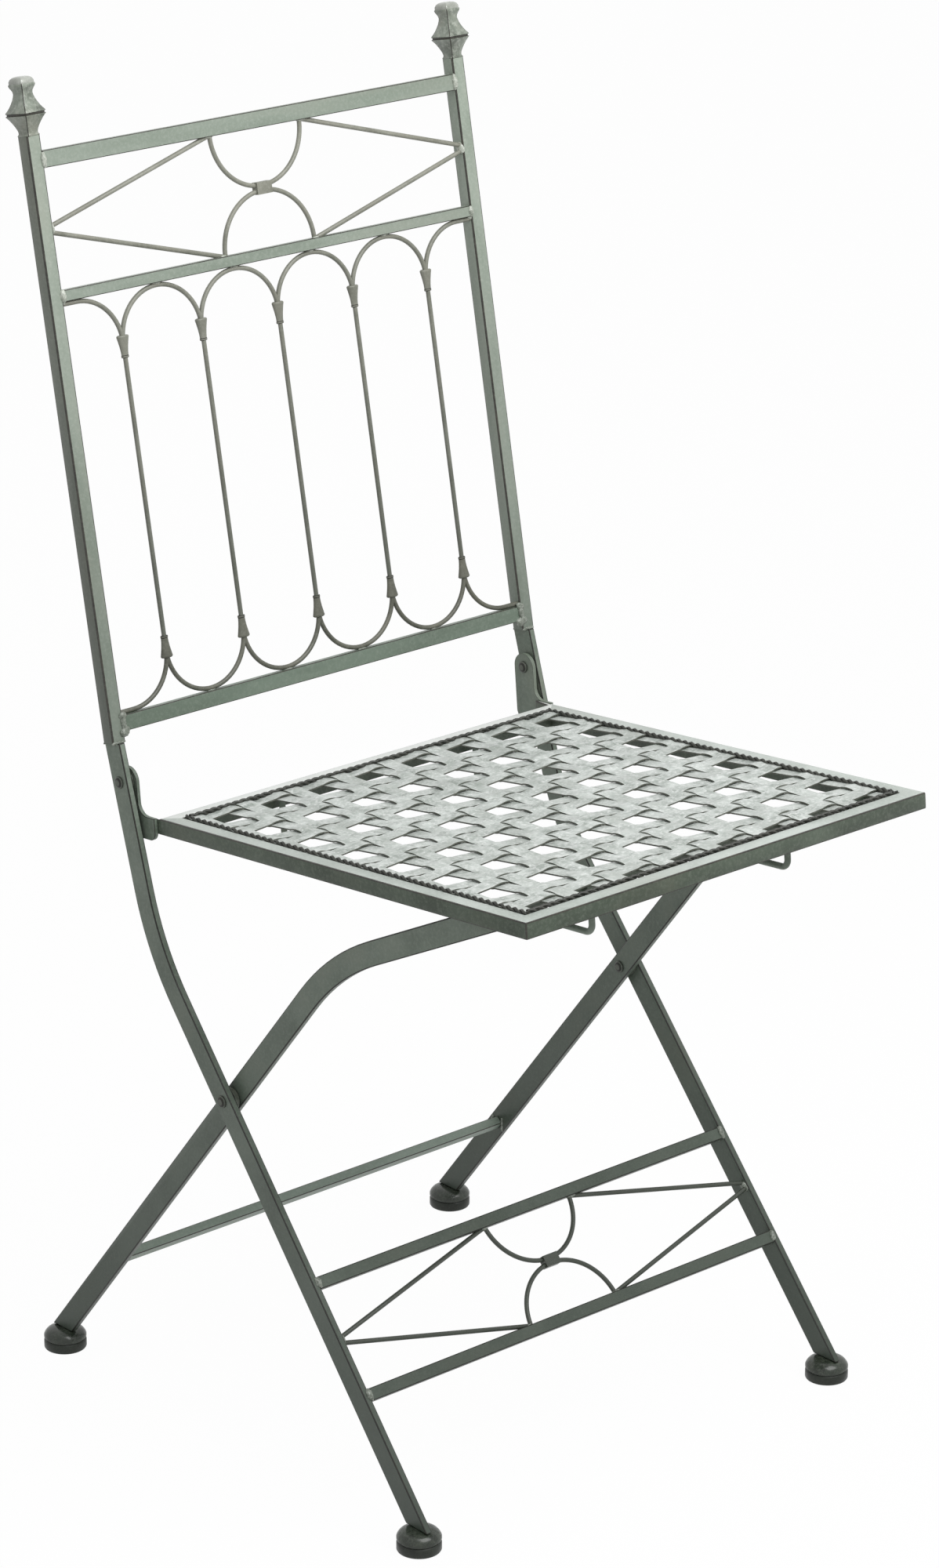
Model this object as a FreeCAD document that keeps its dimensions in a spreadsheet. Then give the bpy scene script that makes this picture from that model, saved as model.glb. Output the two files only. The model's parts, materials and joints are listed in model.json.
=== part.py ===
import FreeCAD, Part
import Sketcher
import math
import os

from FreeCAD import Placement, Rotation, Vector

# Folding metal chair, millimetres. +Z is up, the chair faces -Y, and the origin is on the floor
# under the middle of the chair. Angles are in degrees. A size that follows from others is a formula.

SIZES = {
    # Back frame
    "tube_side": 11.0,              # square tube of the uprights
    "tube_wall": 1.5,
    "upright_length": 417.5,
    "upright_spacing": 378.0,       # between the centres of the two uprights
    "back_tilt": 10.76,             # of the uprights, from the vertical
    "back_rail_depth": 6.0,
    "bottom_rail_low": 6.7,         # heights along the uprights, from their lower end
    "bottom_rail_height": 11.3,
    "middle_rail_height": 8.0,
    "frieze_height": 82.9,          # between the middle and the top rail
    "top_rail_height": 11.8,
    "top_rail_drop": 10.7,          # from the top of the uprights
    "top_rail_low": "=upright_length - top_rail_drop - top_rail_height",
    "middle_rail_low": "=top_rail_low - frieze_height - middle_rail_height",
    # Wrought rods of the back and of the front brace
    "rod_diameter": 3.3,
    "arc_radius": 40.0,             # of the facing arcs, on their centre lines
    "rod_foot": 43.0,               # where a side rod meets its rail, from the middle
    "rod_meet": 4.2,                # between the two side rods at the upright
    "band_width": 13.0,             # band that ties the two arcs
    "band_height": 8.5,
    "band_depth": 5.94,
    "arch_run": 12.5,               # straight run from the last arch to the upright
    "spindle_pitch": "=(upright_spacing - tube_side - 2 * arch_run) / 5",
    "ferrule_height": 15.5,
    "ferrule_wide": 6.2,
    "ferrule_narrow": 4.8,
    "ferrule_lap": 5.3,             # how far a ferrule reaches past the spindle's end
    # Finials
    "finial_neck": 9.2,
    "finial_belt": 18.3,
    "finial_button": 11.8,
    "finial_tip": 5.0,
    "finial_neck_height": 2.75,     # heights of the sections above the tube
    "finial_belt_height": 15.3,
    "finial_upper_neck_height": 27.85,
    "finial_button_height": 33.45,
    "finial_height": 40.3,
    # Flat bars of the two leg frames
    "bar_width": 17.0,
    "bar_thickness": 5.0,
    "bend_radius": 195.0,
    "pivot_y": 150.9,               # hinge of the seat on the front legs
    "pivot_z": 463.5,
    "pivot_to_upright": 27.7,
    "pivot_to_bend": 117.8,
    "front_upper_lean": 16.7,
    "front_lower_lean": 40.03,
    "bend_to_crossing": 117.2,
    "front_toe": 0.96,
    "rear_lower_lean": 38.9,
    "crossing_to_bend": 166.2,
    "rear_upper_rise": 26.57,
    "rear_upper_length": 193.0,
    "rear_toe": 1.5,
    "crossing_play": 4.5,           # between the two crossing bars
    # Feet
    "foot_radius": 15.5,
    "foot_top_radius": 12.0,
    "foot_height": 16.0,
    "foot_shoulder": 11.5,
    "glide_height": 7.5,
    "glide_groove": 1.2,
    # Front brace and rear stretcher
    "crossing_to_brace": 141.7,
    "brace_spacing": 83.5,
    "brace_rail_width": 9.0,
    "brace_rail_depth": 6.0,
    "crossing_to_stretcher": 219.0,
    "stretcher_width": 8.0,
    "stretcher_depth": 7.0,
    # Seat
    "seat_side_gap": 7.0,           # from the seat's side to the middle of an upright
    "seat_width": "=upright_spacing - 2 * seat_side_gap",
    "seat_length": 376.6,
    "seat_tilt": 5.21,
    "pivot_behind_seat": 28.9,
    "pivot_above_seat": 23.2,
    "rim_flange": 12.0,
    "front_flange": 14.0,
    "rim_height": 11.5,
    "rim_thickness": 2.0,
    "rim_tab": 16.0,                # of the side walls behind the seat, under the brackets
    "strip_thickness": 1.0,
    "strip_lap": 2.5,               # of the strips under the flanges
    "strip_slit": 0.7,              # between the two strips of a pair
    "opening_width": 17.0,
    "opening_length": 20.0,
    "openings_across": 8,
    "openings_along": 7.655,        # the last one is partly under the front rim
    "border_thickness": 2.0,        # flat bars on edge around the woven panel
    "front_border": 44.4,           # from the front edge of the seat
    "trim_diameter": 4.2,
    "bracket_thickness": 3.0,
    "bracket_step": 2.0,            # from the back of the rim to the front of the bracket
    "bracket_drop": 16.2,
    "bracket_corner": 6.0,
    "bracket_fillet": 9.0,
    "ear_radius": 10.0,
    # Guides and crossbar of the fold
    "guide_diameter": 4.5,
    "guide_spacing": 179.0,
    "guide_front": 41.2,            # from the front edge of the seat
    "guide_inset": 19.6,            # from the back edge of the seat
    "guide_back": "=seat_length - guide_inset",
    "guide_bend": 6.0,
    "crossbar_diameter": 8.0,
    "crossbar_reach": 137.478,      # from the bend of the rear bars, along them
    "crossbar_drop": 13.902,        # under their centre lines
    "crossbar_crank": 12.0,         # how far its ends are bent up
    "crank_start": 14.0,            # from the guides, outwards
    # Rivets, washers and clearances
    "rivet_diameter": 6.0,
    "rivet_head": 9.5,
    "rivet_head_height": 2.0,
    "spacer_diameter": 16.0,
    "running_fit": 0.05,
    "side_play": 0.35,              # between faces that turn past each other
    "seat_play": 0.5,               # under the seat, over the rear bars
    "guide_play": 0.3,
    "crossbar_play": 1.6,           # beside the rear bars
}

X_AXIS = Vector(1, 0, 0)
Y_AXIS = Vector(0, 1, 0)
Z_AXIS = Vector(0, 0, 1)
SIDES = {"left": -1, "right": 1}

doc = FreeCAD.newDocument("FoldingChair")
sheet = doc.addObject("Spreadsheet::Sheet", "Sizes")
for row, (alias, value) in enumerate(SIZES.items(), start=1):
    sheet.set("A%d" % row, alias)
    sheet.set("B%d" % row, str(value))
    sheet.setAlias("B%d" % row, alias)
doc.recompute()
nodes = []


def size(alias):
    return float(sheet.get(alias))


def node(label, piece):
    """Names a finished sub-part and keeps it for the export."""
    piece.Label = label
    nodes.append(piece)
    return piece


def tilted(y, z, angle):
    """Frame at (0, y, z) whose own z axis leans backwards by an angle."""
    return Placement(Vector(0, y, z), Rotation(X_AXIS, -angle))


def leaning(angle):
    """Unit vector in the side view that points up and leans backwards by an angle."""
    return Vector(0, math.sin(math.radians(angle)), math.cos(math.radians(angle)))


# Places that several pieces share, in the side view of the chair
rod_radius = size("rod_diameter") / 2
pivot = Vector(0, size("pivot_y"), size("pivot_z"))
front_upper = leaning(size("front_upper_lean"))
front_lower = leaning(size("front_lower_lean"))
front_bend = pivot - front_upper * size("pivot_to_bend")
crossing = front_bend - front_lower * size("bend_to_crossing")
upright_foot = pivot + front_upper * size("pivot_to_upright")
rear_lower = leaning(-size("rear_lower_lean"))
rear_bend = crossing + rear_lower * size("crossing_to_bend")
rear_upper = leaning(size("rear_upper_rise") - 90)
rear_under = X_AXIS.cross(rear_upper)
crossbar = rear_bend + rear_upper * size("crossbar_reach") + rear_under * size("crossbar_drop")

# Frames: y runs back from the front face, z runs up along the bars
back_frame = tilted(0, 0, size("back_tilt"))
back_frame.Base = upright_foot - back_frame.multVec(Vector(0, size("tube_side") / 2, 0))
brace_frame = tilted(0, 0, size("front_lower_lean"))
brace_frame.Base = (crossing - front_lower * size("crossing_to_brace")
                    - brace_frame.multVec(Vector(0, size("bar_width") / 2, 0)))
# The seat's y runs back from its front edge, and z = 0 is its top
seat_frame = tilted(0, 0, size("seat_tilt"))
pivot_on_seat = Vector(0, size("seat_length") + size("pivot_behind_seat"), size("pivot_above_seat"))
seat_frame.Base = pivot - seat_frame.multVec(pivot_on_seat)


def front_bar_x(y):
    """Distance of a front leg's centre plane from the middle."""
    slope = math.tan(math.radians(size("front_toe")))
    return size("upright_spacing") / 2 + slope * (upright_foot.y - y)


def rear_bar_x(y):
    """Distance of a rear leg's centre plane from the middle."""
    slope = math.tan(math.radians(size("rear_toe")))
    at_crossing = front_bar_x(crossing.y) - size("bar_thickness") - size("crossing_play")
    return at_crossing + slope * (y - crossing.y)


def box(name, lengths, frame, corner):
    """Box with its three lengths bound to the sheet, at a corner in a frame."""
    piece = doc.addObject("Part::Box", name)
    for side, text in zip(("Length", "Width", "Height"), lengths):
        piece.setExpression(side, text)
    piece.Placement = frame.multiply(Placement(Vector(*corner), Rotation()))
    return piece


def cylinder(name, radius, height, placement):
    piece = doc.addObject("Part::Cylinder", name)
    piece.setExpression("Radius", radius)
    piece.setExpression("Height", height)
    piece.Placement = placement
    return piece


def torus(name, radius, frame, centre, used_side):
    """Ring of rod in the x-z plane of a frame, with its seam away from the side that is used."""
    piece = doc.addObject("Part::Torus", name)
    piece.setExpression("Radius1", radius)
    piece.setExpression("Radius2", "Sizes.rod_diameter / 2")
    turn = Rotation(X_AXIS, 90).multiply(Rotation(Z_AXIS, -90 * used_side))
    piece.Placement = frame.multiply(Placement(Vector(*centre), turn))
    return piece


def boolean(kind, name, base, tool):
    piece = doc.addObject("Part::" + kind, name)
    piece.Base = base
    piece.Tool = tool
    return piece


def compound(name, pieces):
    piece = doc.addObject("Part::Compound", name)
    piece.Links = pieces
    return piece


def feature(name, shape):
    piece = doc.addObject("Part::Feature", name)
    piece.Shape = shape
    return piece


def across(x, y, z):
    """Placement of a cylinder whose axis runs along +X from a point."""
    return Placement(Vector(x, y, z), Rotation(Y_AXIS, 90))


def uprights():
    wall = size("tube_wall")
    half = size("tube_side") / 2
    inner = "Sizes.tube_side - 2 * Sizes.tube_wall"
    for side, sign in SIDES.items():
        x = sign * size("upright_spacing") / 2 - half
        lengths = ("Sizes.tube_side", "Sizes.tube_side", "Sizes.upright_length")
        outer = box("tube_outer_" + side, lengths, back_frame, (x, 0, 0))
        hollow = box("tube_hollow_" + side, (inner, inner, "Sizes.upright_length"),
                     back_frame, (x + wall, wall, 0))
        node("upright_" + side, boolean("Cut", "upright_" + side, outer, hollow))


def square(side, height):
    half = side / 2
    corners = [Vector(-half, -half, height), Vector(half, -half, height),
               Vector(half, half, height), Vector(-half, half, height)]
    return Part.makePolygon(corners + corners[:1])


def finials():
    """Four-sided turned knobs on the uprights: neck, belt, neck, button and tip."""
    neck = size("finial_neck")
    sections = [(size("tube_side"), 0), (neck, size("finial_neck_height")),
                (size("finial_belt"), size("finial_belt_height")),
                (neck, size("finial_upper_neck_height")),
                (size("finial_button"), size("finial_button_height")),
                (size("finial_tip"), size("finial_height"))]
    shape = Part.makeLoft([square(side, at) for side, at in sections], True, True)
    for side, sign in SIDES.items():
        foot = Vector(sign * size("upright_spacing") / 2, size("tube_side") / 2,
                      size("upright_length"))
        piece = feature("finial_" + side, shape)
        piece.Placement = back_frame.multiply(Placement(foot, Rotation()))
        node("finial_" + side, piece)


def upright_gap():
    """Half of the clear width between the uprights."""
    return (size("upright_spacing") - size("tube_side")) / 2


def back_rails():
    clear = "Sizes.upright_spacing - Sizes.tube_side"
    for level in ("bottom", "middle", "top"):
        rail = level + "_rail"
        lengths = (clear, "Sizes.back_rail_depth", "Sizes.%s_height" % rail)
        corner = (-upright_gap(), 0, size(rail + "_low"))
        node("back_rail_" + level, box("back_rail_" + level, lengths, back_frame, corner))


def ornament(prefix, frame, half_low, half_high, low, height, depth):
    """Two facing arcs tied by a band, with side rods, between two rails of a frame."""
    ring = size("arc_radius")
    middle = low + height / 2
    overrun = size("rod_diameter")
    opening = doc.addObject("Part::Feature", prefix + "_opening")
    corners = [Vector(-half_low, 0, low), Vector(half_low, 0, low),
               Vector(half_high, 0, low + height), Vector(-half_high, 0, low + height)]
    face = Part.Face(Part.makePolygon(corners + corners[:1]))
    thick = 2 * depth + 2 * overrun
    opening.Shape = face.extrude(Vector(0, thick, 0))
    opening.Placement = frame.multiply(Placement(Vector(0, -overrun, 0), Rotation()))
    arcs = {}
    discs = {}
    for level, sign in (("lower", -1), ("upper", 1)):
        centre = (0, depth, middle + sign * (ring + rod_radius))
        name = "%s_arc_%s" % (prefix, level)
        whole = torus(name + "_ring", "Sizes.arc_radius", frame, centre, -sign)
        arcs[level] = node(name, boolean("Common", name, whole, opening))
        side = Placement(Vector(0, -overrun, centre[2]), Rotation(X_AXIS, -90))
        discs[level] = cylinder(name + "_disc", "Sizes.arc_radius + Sizes.rod_diameter / 2",
                                "%.4f" % thick, frame.multiply(side))
    rods = []
    for side, hand in SIDES.items():
        for level, sign in (("lower", -1), ("upper", 1)):
            half = (half_low + half_high) / 2
            start = Vector(hand * half, depth, middle + sign * size("rod_meet") / 2)
            end = Vector(hand * size("rod_foot"), depth, middle + sign * height / 2)
            along = end.sub(start).normalize()
            turn = Rotation(Z_AXIS, along)
            name = "%s_rod_%s_%s" % (prefix, level, side)
            first = start - along * 2 * overrun
            whole = cylinder(name + "_whole", "Sizes.rod_diameter / 2", "Sizes.upright_spacing / 2",
                             frame.multiply(Placement(first, turn)))
            length = boolean("Common", name + "_length", whole, opening)
            rods.append(boolean("Cut", name, length, discs[level]))
    node(prefix + "_rods", compound(prefix + "_rods", rods))
    lengths = ("Sizes.band_width", "Sizes.band_depth", "Sizes.band_height")
    corner = (-size("band_width") / 2, depth - size("band_depth") / 2,
              middle - size("band_height") / 2)
    block = box(prefix + "_band_block", lengths, frame, corner)
    pair = compound(prefix + "_arc_pair", [arcs["lower"], arcs["upper"]])
    node(prefix + "_band", boolean("Cut", prefix + "_band", block, pair))


def frieze():
    low = size("middle_rail_low") + size("middle_rail_height")
    height = size("top_rail_low") - low
    ornament("back", back_frame, upright_gap(), upright_gap(), low, height,
             size("back_rail_depth") / 2)


def arcade():
    """Five spindles with ferrules, and a row of arches on them above and below."""
    pitch = size("spindle_pitch")
    ring = pitch / 2
    depth = size("back_rail_depth") / 2
    foot = size("bottom_rail_low") + size("bottom_rail_height") + rod_radius + ring
    head = size("middle_rail_low") - rod_radius - ring
    places = [k * pitch for k in range(-2, 3)]
    spindles = []
    for number, x in enumerate(places):
        spindle = cylinder("spindle_%d" % number, "Sizes.rod_diameter / 2", "1 mm",
                           back_frame.multiply(Placement(Vector(x, depth, foot), Rotation())))
        spindle.setExpression("Height", "Sizes.middle_rail_low - Sizes.bottom_rail_low"
                              " - Sizes.bottom_rail_height - Sizes.rod_diameter - Sizes.spindle_pitch")
        spindles.append(spindle)
    node("back_spindles", compound("back_spindles", spindles))
    for row, level, sign in (("top", head, 1), ("bottom", foot, -1)):
        low = min(level, level + sign * (ring + rod_radius))
        arches = []
        for number in range(-3, 3):
            name = "arch_%s_%d" % (row, number + 3)
            whole = torus(name + "_ring", "Sizes.spindle_pitch / 2", back_frame,
                          ((number + 0.5) * pitch, depth, level), sign)
            end_arch = number in (-3, 2)
            share = "Sizes.spindle_pitch / 2" if end_arch else "Sizes.spindle_pitch"
            start = (number + 0.5) * pitch if number == -3 else number * pitch
            lengths = (share, "2 * Sizes.rod_diameter", "(Sizes.spindle_pitch + Sizes.rod_diameter) / 2")
            span = box(name + "_span", lengths, back_frame,
                       (start, depth - size("rod_diameter"), low))
            arches.append(boolean("Common", name, whole, span))
        runs = []
        for side, hand in SIDES.items():
            bend_end = Vector(hand * 2.5 * pitch, depth, level + sign * ring)
            run = cylinder("run_%s_%s" % (row, side), "Sizes.rod_diameter / 2",
                           "(Sizes.upright_spacing - Sizes.tube_side) / 2 - 2.5 * Sizes.spindle_pitch",
                           back_frame.multiply(Placement(bend_end, Rotation(Y_AXIS, hand * 90))))
            runs.append(run)
        node("back_arches_" + row, compound("back_arches_" + row, arches + runs))
        ferrules = []
        for number, x in enumerate(places):
            rods = compound("rods_%s_%d" % (row, number),
                            [spindles[number], arches[number], arches[number + 1]])
            cone = doc.addObject("Part::Cone", "ferrule_cone_%s_%d" % (row, number))
            cone.setExpression("Radius1", "Sizes.ferrule_narrow / 2")
            cone.setExpression("Radius2", "Sizes.ferrule_wide / 2")
            cone.setExpression("Height", "Sizes.ferrule_height")
            start = level + sign * (size("ferrule_lap") - size("ferrule_height"))
            turn = Rotation() if sign > 0 else Rotation(X_AXIS, 180)
            cone.Placement = back_frame.multiply(Placement(Vector(x, depth, start), turn))
            ferrules.append(boolean("Cut", "ferrule_%s_%d" % (row, number), cone, rods))
        node("back_ferrules_" + row, compound("back_ferrules_" + row, ferrules))


def bent_bar(start, corner, end):
    """Flat bar on edge in the side view, bent once, centred on x = 0."""
    first = (corner - start).normalize()
    second = (end - corner).normalize()
    radius = size("bend_radius")
    turn = first.getAngle(second)
    sign = math.copysign(1, first.cross(second).x)
    reach = radius * math.tan(turn / 2)
    before = corner - first * reach
    after = corner + second * reach
    first_side = X_AXIS.cross(first)
    second_side = X_AXIS.cross(second)
    middle_side = (first_side + second_side).normalize()
    centre = before + first_side * radius * sign
    edges = []
    ends = []
    for offset in (size("bar_width") / 2, -size("bar_width") / 2):
        points = [start + first_side * offset, before + first_side * offset,
                  centre - middle_side * sign * (radius - sign * offset),
                  after + second_side * offset, end + second_side * offset]
        edges.append(Part.LineSegment(points[0], points[1]).toShape())
        edges.append(Part.Arc(points[1], points[2], points[3]).toShape())
        edges.append(Part.LineSegment(points[3], points[4]).toShape())
        ends.append((points[0], points[4]))
    edges.append(Part.LineSegment(ends[0][0], ends[1][0]).toShape())
    edges.append(Part.LineSegment(ends[0][1], ends[1][1]).toShape())
    face = Part.Face(Part.Wire(Part.__sortEdges__(edges)))
    bar = face.extrude(X_AXIS * size("bar_thickness"))
    bar.translate(X_AXIS * -size("bar_thickness") / 2)
    return bar


def hole(bar, centre, radius):
    reach = size("seat_width")
    return bar.cut(Part.makeCylinder(radius, reach, Vector(0, centre.y, centre.z), X_AXIS))


def above_floor(bar):
    """Cuts a bar off level with the tops of the feet."""
    reach = 2 * size("seat_length")
    below = Part.makeBox(reach, 2 * reach, reach, Vector(0, -reach, size("foot_height") - reach))
    return bar.cut(below)


def below_plane(bar, frame, height):
    """Cuts a bar off under a plane of a frame."""
    reach = 2 * size("seat_length")
    above = Part.makeBox(reach, 2 * reach, reach, Vector(0, -reach, height))
    above.Placement = frame.multiply(above.Placement)
    return bar.cut(above)


def mirrored(label, shape):
    """The piece on the right, and its mirror image on the left."""
    node(label + "_right", feature(label + "_right", shape))
    node(label + "_left", feature(label + "_left", shape.mirror(Vector(), X_AXIS)))


def floor_point(start, direction):
    """Where a line meets the level of the tops of the feet."""
    return start + direction * ((size("foot_height") - start.z) / direction.z)


front_foot = floor_point(crossing, front_lower)
rear_foot = floor_point(crossing, rear_lower)
rivet_radius = size("rivet_diameter") / 2


def front_legs():
    spare = size("bar_width")
    bar = bent_bar(upright_foot + front_upper * spare, front_bend,
                   front_foot - front_lower * spare)
    bar.rotate(Vector(0, upright_foot.y, 0), Z_AXIS, size("front_toe"))
    bar.translate(X_AXIS * front_bar_x(upright_foot.y))
    bar = below_plane(above_floor(bar), back_frame, 0)
    mirrored("front_leg", hole(hole(bar, pivot, rivet_radius), crossing, rivet_radius))


def rear_legs():
    spare = size("bar_width")
    bar = bent_bar(rear_foot - rear_lower * spare, rear_bend,
                   rear_bend + rear_upper * size("rear_upper_length"))
    bar.rotate(Vector(0, crossing.y, 0), Z_AXIS, -size("rear_toe"))
    bar.translate(X_AXIS * rear_bar_x(crossing.y))
    under_weave = -size("rim_thickness") - 2 * size("strip_thickness") - size("seat_play")
    bar = below_plane(above_floor(bar), seat_frame, under_weave)
    mirrored("rear_leg", hole(bar, crossing, rivet_radius + size("running_fit")))


def turned(name, corners, placement):
    """Body turned about its own vertical axis from an outline of (radius, height) texts."""
    body = doc.addObject("PartDesign::Body", name)
    sketch = body.newObject("Sketcher::SketchObject", name + "_outline")
    plane = [p for p in body.Origin.OriginFeatures if p.Role == "XZ_Plane"][0]
    sketch.AttachmentSupport = (plane, "")
    sketch.MapMode = "FlatFace"
    count = len(corners)
    for number in range(count):
        sketch.addGeometry(Part.LineSegment(Vector(number, number * number, 0),
                                            Vector(number + 1, (number + 1) ** 2, 0)), False)
    for number in range(count):
        sketch.addConstraint(Sketcher.Constraint("Coincident", number, 2, (number + 1) % count, 1))
    for number, (radius, height) in enumerate(corners):
        for kind, axis, text in (("DistanceX", -2, radius), ("DistanceY", -1, height)):
            if text == "0":
                sketch.addConstraint(Sketcher.Constraint("PointOnObject", number, 1, axis))
            else:
                index = sketch.addConstraint(Sketcher.Constraint(kind, -1, 1, number, 1, 1.0))
                sketch.setExpression("Constraints[%d]" % index, text)
    turn = body.newObject("PartDesign::Revolution", name + "_turned")
    turn.Profile = sketch
    turn.ReferenceAxis = (sketch, ["V_Axis"])
    turn.Angle = 360
    body.Placement = placement
    return body


def feet():
    wide = "Sizes.foot_radius"
    groove = "Sizes.foot_radius - Sizes.glide_groove"
    glide_top = "Sizes.glide_height"
    seam = "Sizes.glide_height + Sizes.glide_groove"
    glide = [("0", "0"), (wide, "0"), (wide, glide_top), ("0", glide_top)]
    cup = [("0", glide_top), (groove, glide_top), (groove, seam), (wide, seam),
           (wide, "Sizes.foot_shoulder"), ("Sizes.foot_top_radius", "Sizes.foot_height"),
           ("0", "Sizes.foot_height")]
    places = {"front": (front_bar_x(front_foot.y), front_foot.y),
              "rear": (rear_bar_x(rear_foot.y), rear_foot.y)}
    for end, (x, y) in places.items():
        for side, sign in SIDES.items():
            at = Placement(Vector(sign * x, y, 0), Rotation())
            name = "%s_foot_%s" % (end, side)
            node(name, turned(name, cup, at))
            name = "%s_glide_%s" % (end, side)
            node(name, turned(name, glide, at))


def brace():
    """Two rails with the same ornament, flush with the front of the front legs."""
    spacing = size("brace_spacing")
    width = size("brace_rail_width")
    inner = {}
    for level, at in (("lower", -spacing), ("upper", 0)):
        low = at - width / 2
        middle = brace_frame.multVec(Vector(0, size("brace_rail_depth") / 2, at))
        inner[level] = front_bar_x(middle.y) - size("bar_thickness") / 2
        lengths = ("%.4f" % (2 * inner[level]), "Sizes.brace_rail_depth", "Sizes.brace_rail_width")
        node("brace_rail_" + level, box("brace_rail_" + level, lengths, brace_frame,
                                        (-inner[level], 0, low)))
    height = spacing - width
    ornament("brace", brace_frame, inner["lower"], inner["upper"], width / 2 - spacing, height,
             size("brace_rail_depth") / 2)


def stretcher():
    middle = crossing - rear_lower * size("crossing_to_stretcher")
    inner = rear_bar_x(middle.y) - size("bar_thickness") / 2
    frame = tilted(middle.y, middle.z, -size("rear_lower_lean"))
    lengths = ("%.4f" % (2 * inner), "Sizes.stretcher_depth", "Sizes.stretcher_width")
    corner = (-inner, -size("stretcher_depth") / 2, -size("stretcher_width") / 2)
    node("rear_stretcher", box("rear_stretcher", lengths, frame, corner))


def rivet(name, centre, start, end):
    """Rivet along x with a low head at each end of its grip."""
    head = size("rivet_head_height")
    pieces = [cylinder(name + "_shank", "Sizes.rivet_diameter / 2",
                       "%.4f + 2 * Sizes.rivet_head_height" % (end - start),
                       across(start - head, centre.y, centre.z))]
    for number, (x, turn) in enumerate(((start, -90), (end, 90))):
        cone = doc.addObject("Part::Cone", "%s_head_%d" % (name, number))
        cone.setExpression("Radius1", "Sizes.rivet_head / 2")
        cone.setExpression("Radius2", "Sizes.rivet_diameter / 2")
        cone.setExpression("Height", "Sizes.rivet_head_height")
        cone.Placement = Placement(Vector(x, centre.y, centre.z), Rotation(Y_AXIS, turn))
        pieces.append(cone)
    whole = doc.addObject("Part::MultiFuse", name + "_whole")
    whole.Shapes = pieces
    return whole


def ring(name, radius, start, end, centre):
    """Washer or spacer along x around a rivet."""
    disc = cylinder(name + "_disc", radius, "%.4f" % (end - start), across(start, centre.y, centre.z))
    bore = cylinder(name + "_bore", "Sizes.rivet_diameter / 2", "%.4f" % (end - start),
                    across(start, centre.y, centre.z))
    return boolean("Cut", name + "_ring", disc, bore)


def both_sides(label, piece):
    """A piece made on the right, and its mirror image on the left."""
    node(label + "_right", piece)
    mirror = doc.addObject("Part::Mirroring", label + "_mirror")
    mirror.Source = piece
    mirror.Normal = X_AXIS
    node(label + "_left", mirror)


def rivets():
    half = size("bar_thickness") / 2
    play = size("side_play")
    ear_inner = size("seat_width") / 2
    ear_outer = ear_inner + size("bracket_thickness")
    front_at_pivot = front_bar_x(pivot.y)
    front_at_crossing = front_bar_x(crossing.y)
    rear_at_crossing = rear_bar_x(crossing.y)
    skew = math.tan(math.radians(size("front_toe")))
    both_sides("seat_rivet", rivet("seat_rivet", pivot, ear_inner - play,
                                   front_at_pivot + half + skew * size("rivet_head") / 2))
    both_sides("seat_washer", ring("seat_washer", "Sizes.spacer_diameter / 2", ear_outer + play,
                                   front_at_pivot - half - skew * size("spacer_diameter") / 2, pivot))
    both_sides("crossing_rivet", rivet("crossing_rivet", crossing, rear_at_crossing - half - play,
                                       front_at_crossing + half + skew * size("rivet_head") / 2))
    both_sides("crossing_spacer", ring("crossing_spacer", "Sizes.spacer_diameter / 2",
                                       rear_at_crossing + half + play,
                                       front_at_crossing - half - skew * size("spacer_diameter") / 2,
                                       crossing))


def seat_rim():
    half = size("seat_width") / 2
    flange = size("rim_flange")
    thick = size("rim_thickness")
    height = size("rim_height")
    wall_height = "Sizes.rim_height - Sizes.rim_thickness"
    for side, sign in SIDES.items():
        name = "seat_rail_" + side
        top = box(name + "_flange", ("Sizes.rim_flange", "Sizes.seat_length", "Sizes.rim_thickness"),
                  seat_frame, (half - flange if sign > 0 else -half, 0, -thick))
        wall_x = half - thick if sign > 0 else -half
        wall = box(name + "_wall", ("Sizes.rim_thickness", "Sizes.seat_length + Sizes.rim_tab",
                                    "Sizes.rim_height"), seat_frame, (wall_x, 0, -height))
        node(name, boolean("Fuse", name, top, wall))
    clear = "Sizes.seat_width - 2 * Sizes.rim_flange"
    front_top = box("seat_front_flange", (clear, "Sizes.front_flange", "Sizes.rim_thickness"),
                    seat_frame, (flange - half, 0, -thick))
    front_wall = box("seat_front_wall", ("Sizes.seat_width - 2 * Sizes.rim_thickness",
                                         "Sizes.rim_thickness", wall_height),
                     seat_frame, (thick - half, 0, -height))
    node("seat_rail_front", boolean("Fuse", "seat_rail_front", front_top, front_wall))
    node("seat_rail_back", box("seat_rail_back", (clear, "Sizes.rim_flange", "Sizes.rim_thickness"),
                               seat_frame, (flange - half, size("seat_length") - flange, -thick)))


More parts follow.
